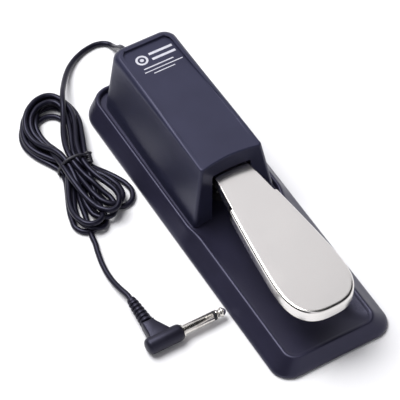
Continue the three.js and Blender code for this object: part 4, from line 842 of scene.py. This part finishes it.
def ring(x, y, inner, outer, steps=40):
    angles = [2 * math.pi * k / steps for k in range(steps + 1)]
    return ([(x + outer * math.cos(a), y + outer * math.sin(a)) for a in angles],
            [(x + inner * math.cos(a), y + inner * math.sin(a)) for a in angles])


mark = film("printed_mark", [ring(-7.4, 96.9, 2.7, 4.1), ring(-7.4, 96.9, 0.0, 1.3),
                             bar(-1.2, 15.4, 99.3, 1.9), bar(-1.2, 15.4, 94.6, 1.9)])
lines = film("printed_lines", [bar(-10, 11, 89.4, 0.9), bar(-11, 16, 86.4, 0.7), bar(-6, 9, 83.6, 0.7)])
print("print on base:", mark.name, lines.name)

# %% [markdown]
# ## Cord, floor and light
# The cord takes the place of the CAD's lead, hank and tail, which are hidden, and goes with the base.
# The floor is a plain white sweep. Light comes from all round, as in a tent: a large soft source
# above and behind on the left makes the top planes lighter than the sides. Two black cards, at the
# left and above the front right, keep part of the white studio out of the reflections. They were
# placed for the look.

# %% The cord's finish
cord.data.materials.append(cord_pvc)
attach(cord, "base")
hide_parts("cord_lead", "cord_hank", "cord_tail")

# %% Floor
def staged_sheet(name, corners, material):
    """A flat sheet with four corners that belongs to the studio, not to the object."""
    mesh = bpy.data.meshes.new(name)
    mesh.from_pydata(corners, [], [(0, 1, 2, 3)])
    mesh.materials.append(material)
    piece = put_in_scene(name, mesh)


FLOOR_HALF = 4.0
paper, _, _ = finish("white_paper_sweep", Base_Color=linear("#F4F4F6"), Roughness=0.9)
floor_corners = [(x * FLOOR_HALF, y * FLOOR_HALF, 0) for x, y in ((-1, -1), (1, -1), (1, 1), (-1, 1))]
staged_sheet("floor", floor_corners, paper)


# %% Light
def softbox(name, place, aim, width, height, power):
    light = bpy.data.lights.new(name, "AREA")
    light.shape, light.size, light.size_y, light.energy = "RECTANGLE", width, height, power
    piece = put_in_scene(name, light)
    piece.location = place
    piece.rotation_euler = (Vector(aim) - Vector(place)).to_track_quat("-Z", "Y").to_euler()


softbox("key_light", (-0.4, 0.6, 1.5), (0, 0, 0), 1.1, 1.1, 33)


def flag(name, low_corner, high_corner):
    """A black card between the object and part of the studio, flat on one axis."""
    (x0, y0, z0), (x1, y1, z1) = low_corner, high_corner
    corners = [(x0, y0, z0), (x1, y0, z0), (x1, y1, z1), (x0, y1, z1)] if x0 != x1 else [
        (x0, y0, z0), (x0, y1, z0), (x0, y1, z1), (x0, y0, z1)]
    staged_sheet(name, corners, black_card)


black_card, _, _ = finish("black_card", Base_Color=linear("#101010"), Roughness=0.9)
flag("flag_left", (-1.8, -2.8, 0.02), (-1.8, 3.6, 2.9))
flag("flag_above", (-0.4, -4.4, 2.9), (7.0, 1.2, 2.9))
world = bpy.data.worlds.new("studio")
world.use_nodes = True
world.node_tree.nodes["Background"].inputs["Color"].default_value = linear("#F6F5FA")
world.node_tree.nodes["Background"].inputs["Strength"].default_value = 0.86
bpy.context.scene.world = world
bpy.context.scene.view_settings.view_transform = "Standard"
print("lit")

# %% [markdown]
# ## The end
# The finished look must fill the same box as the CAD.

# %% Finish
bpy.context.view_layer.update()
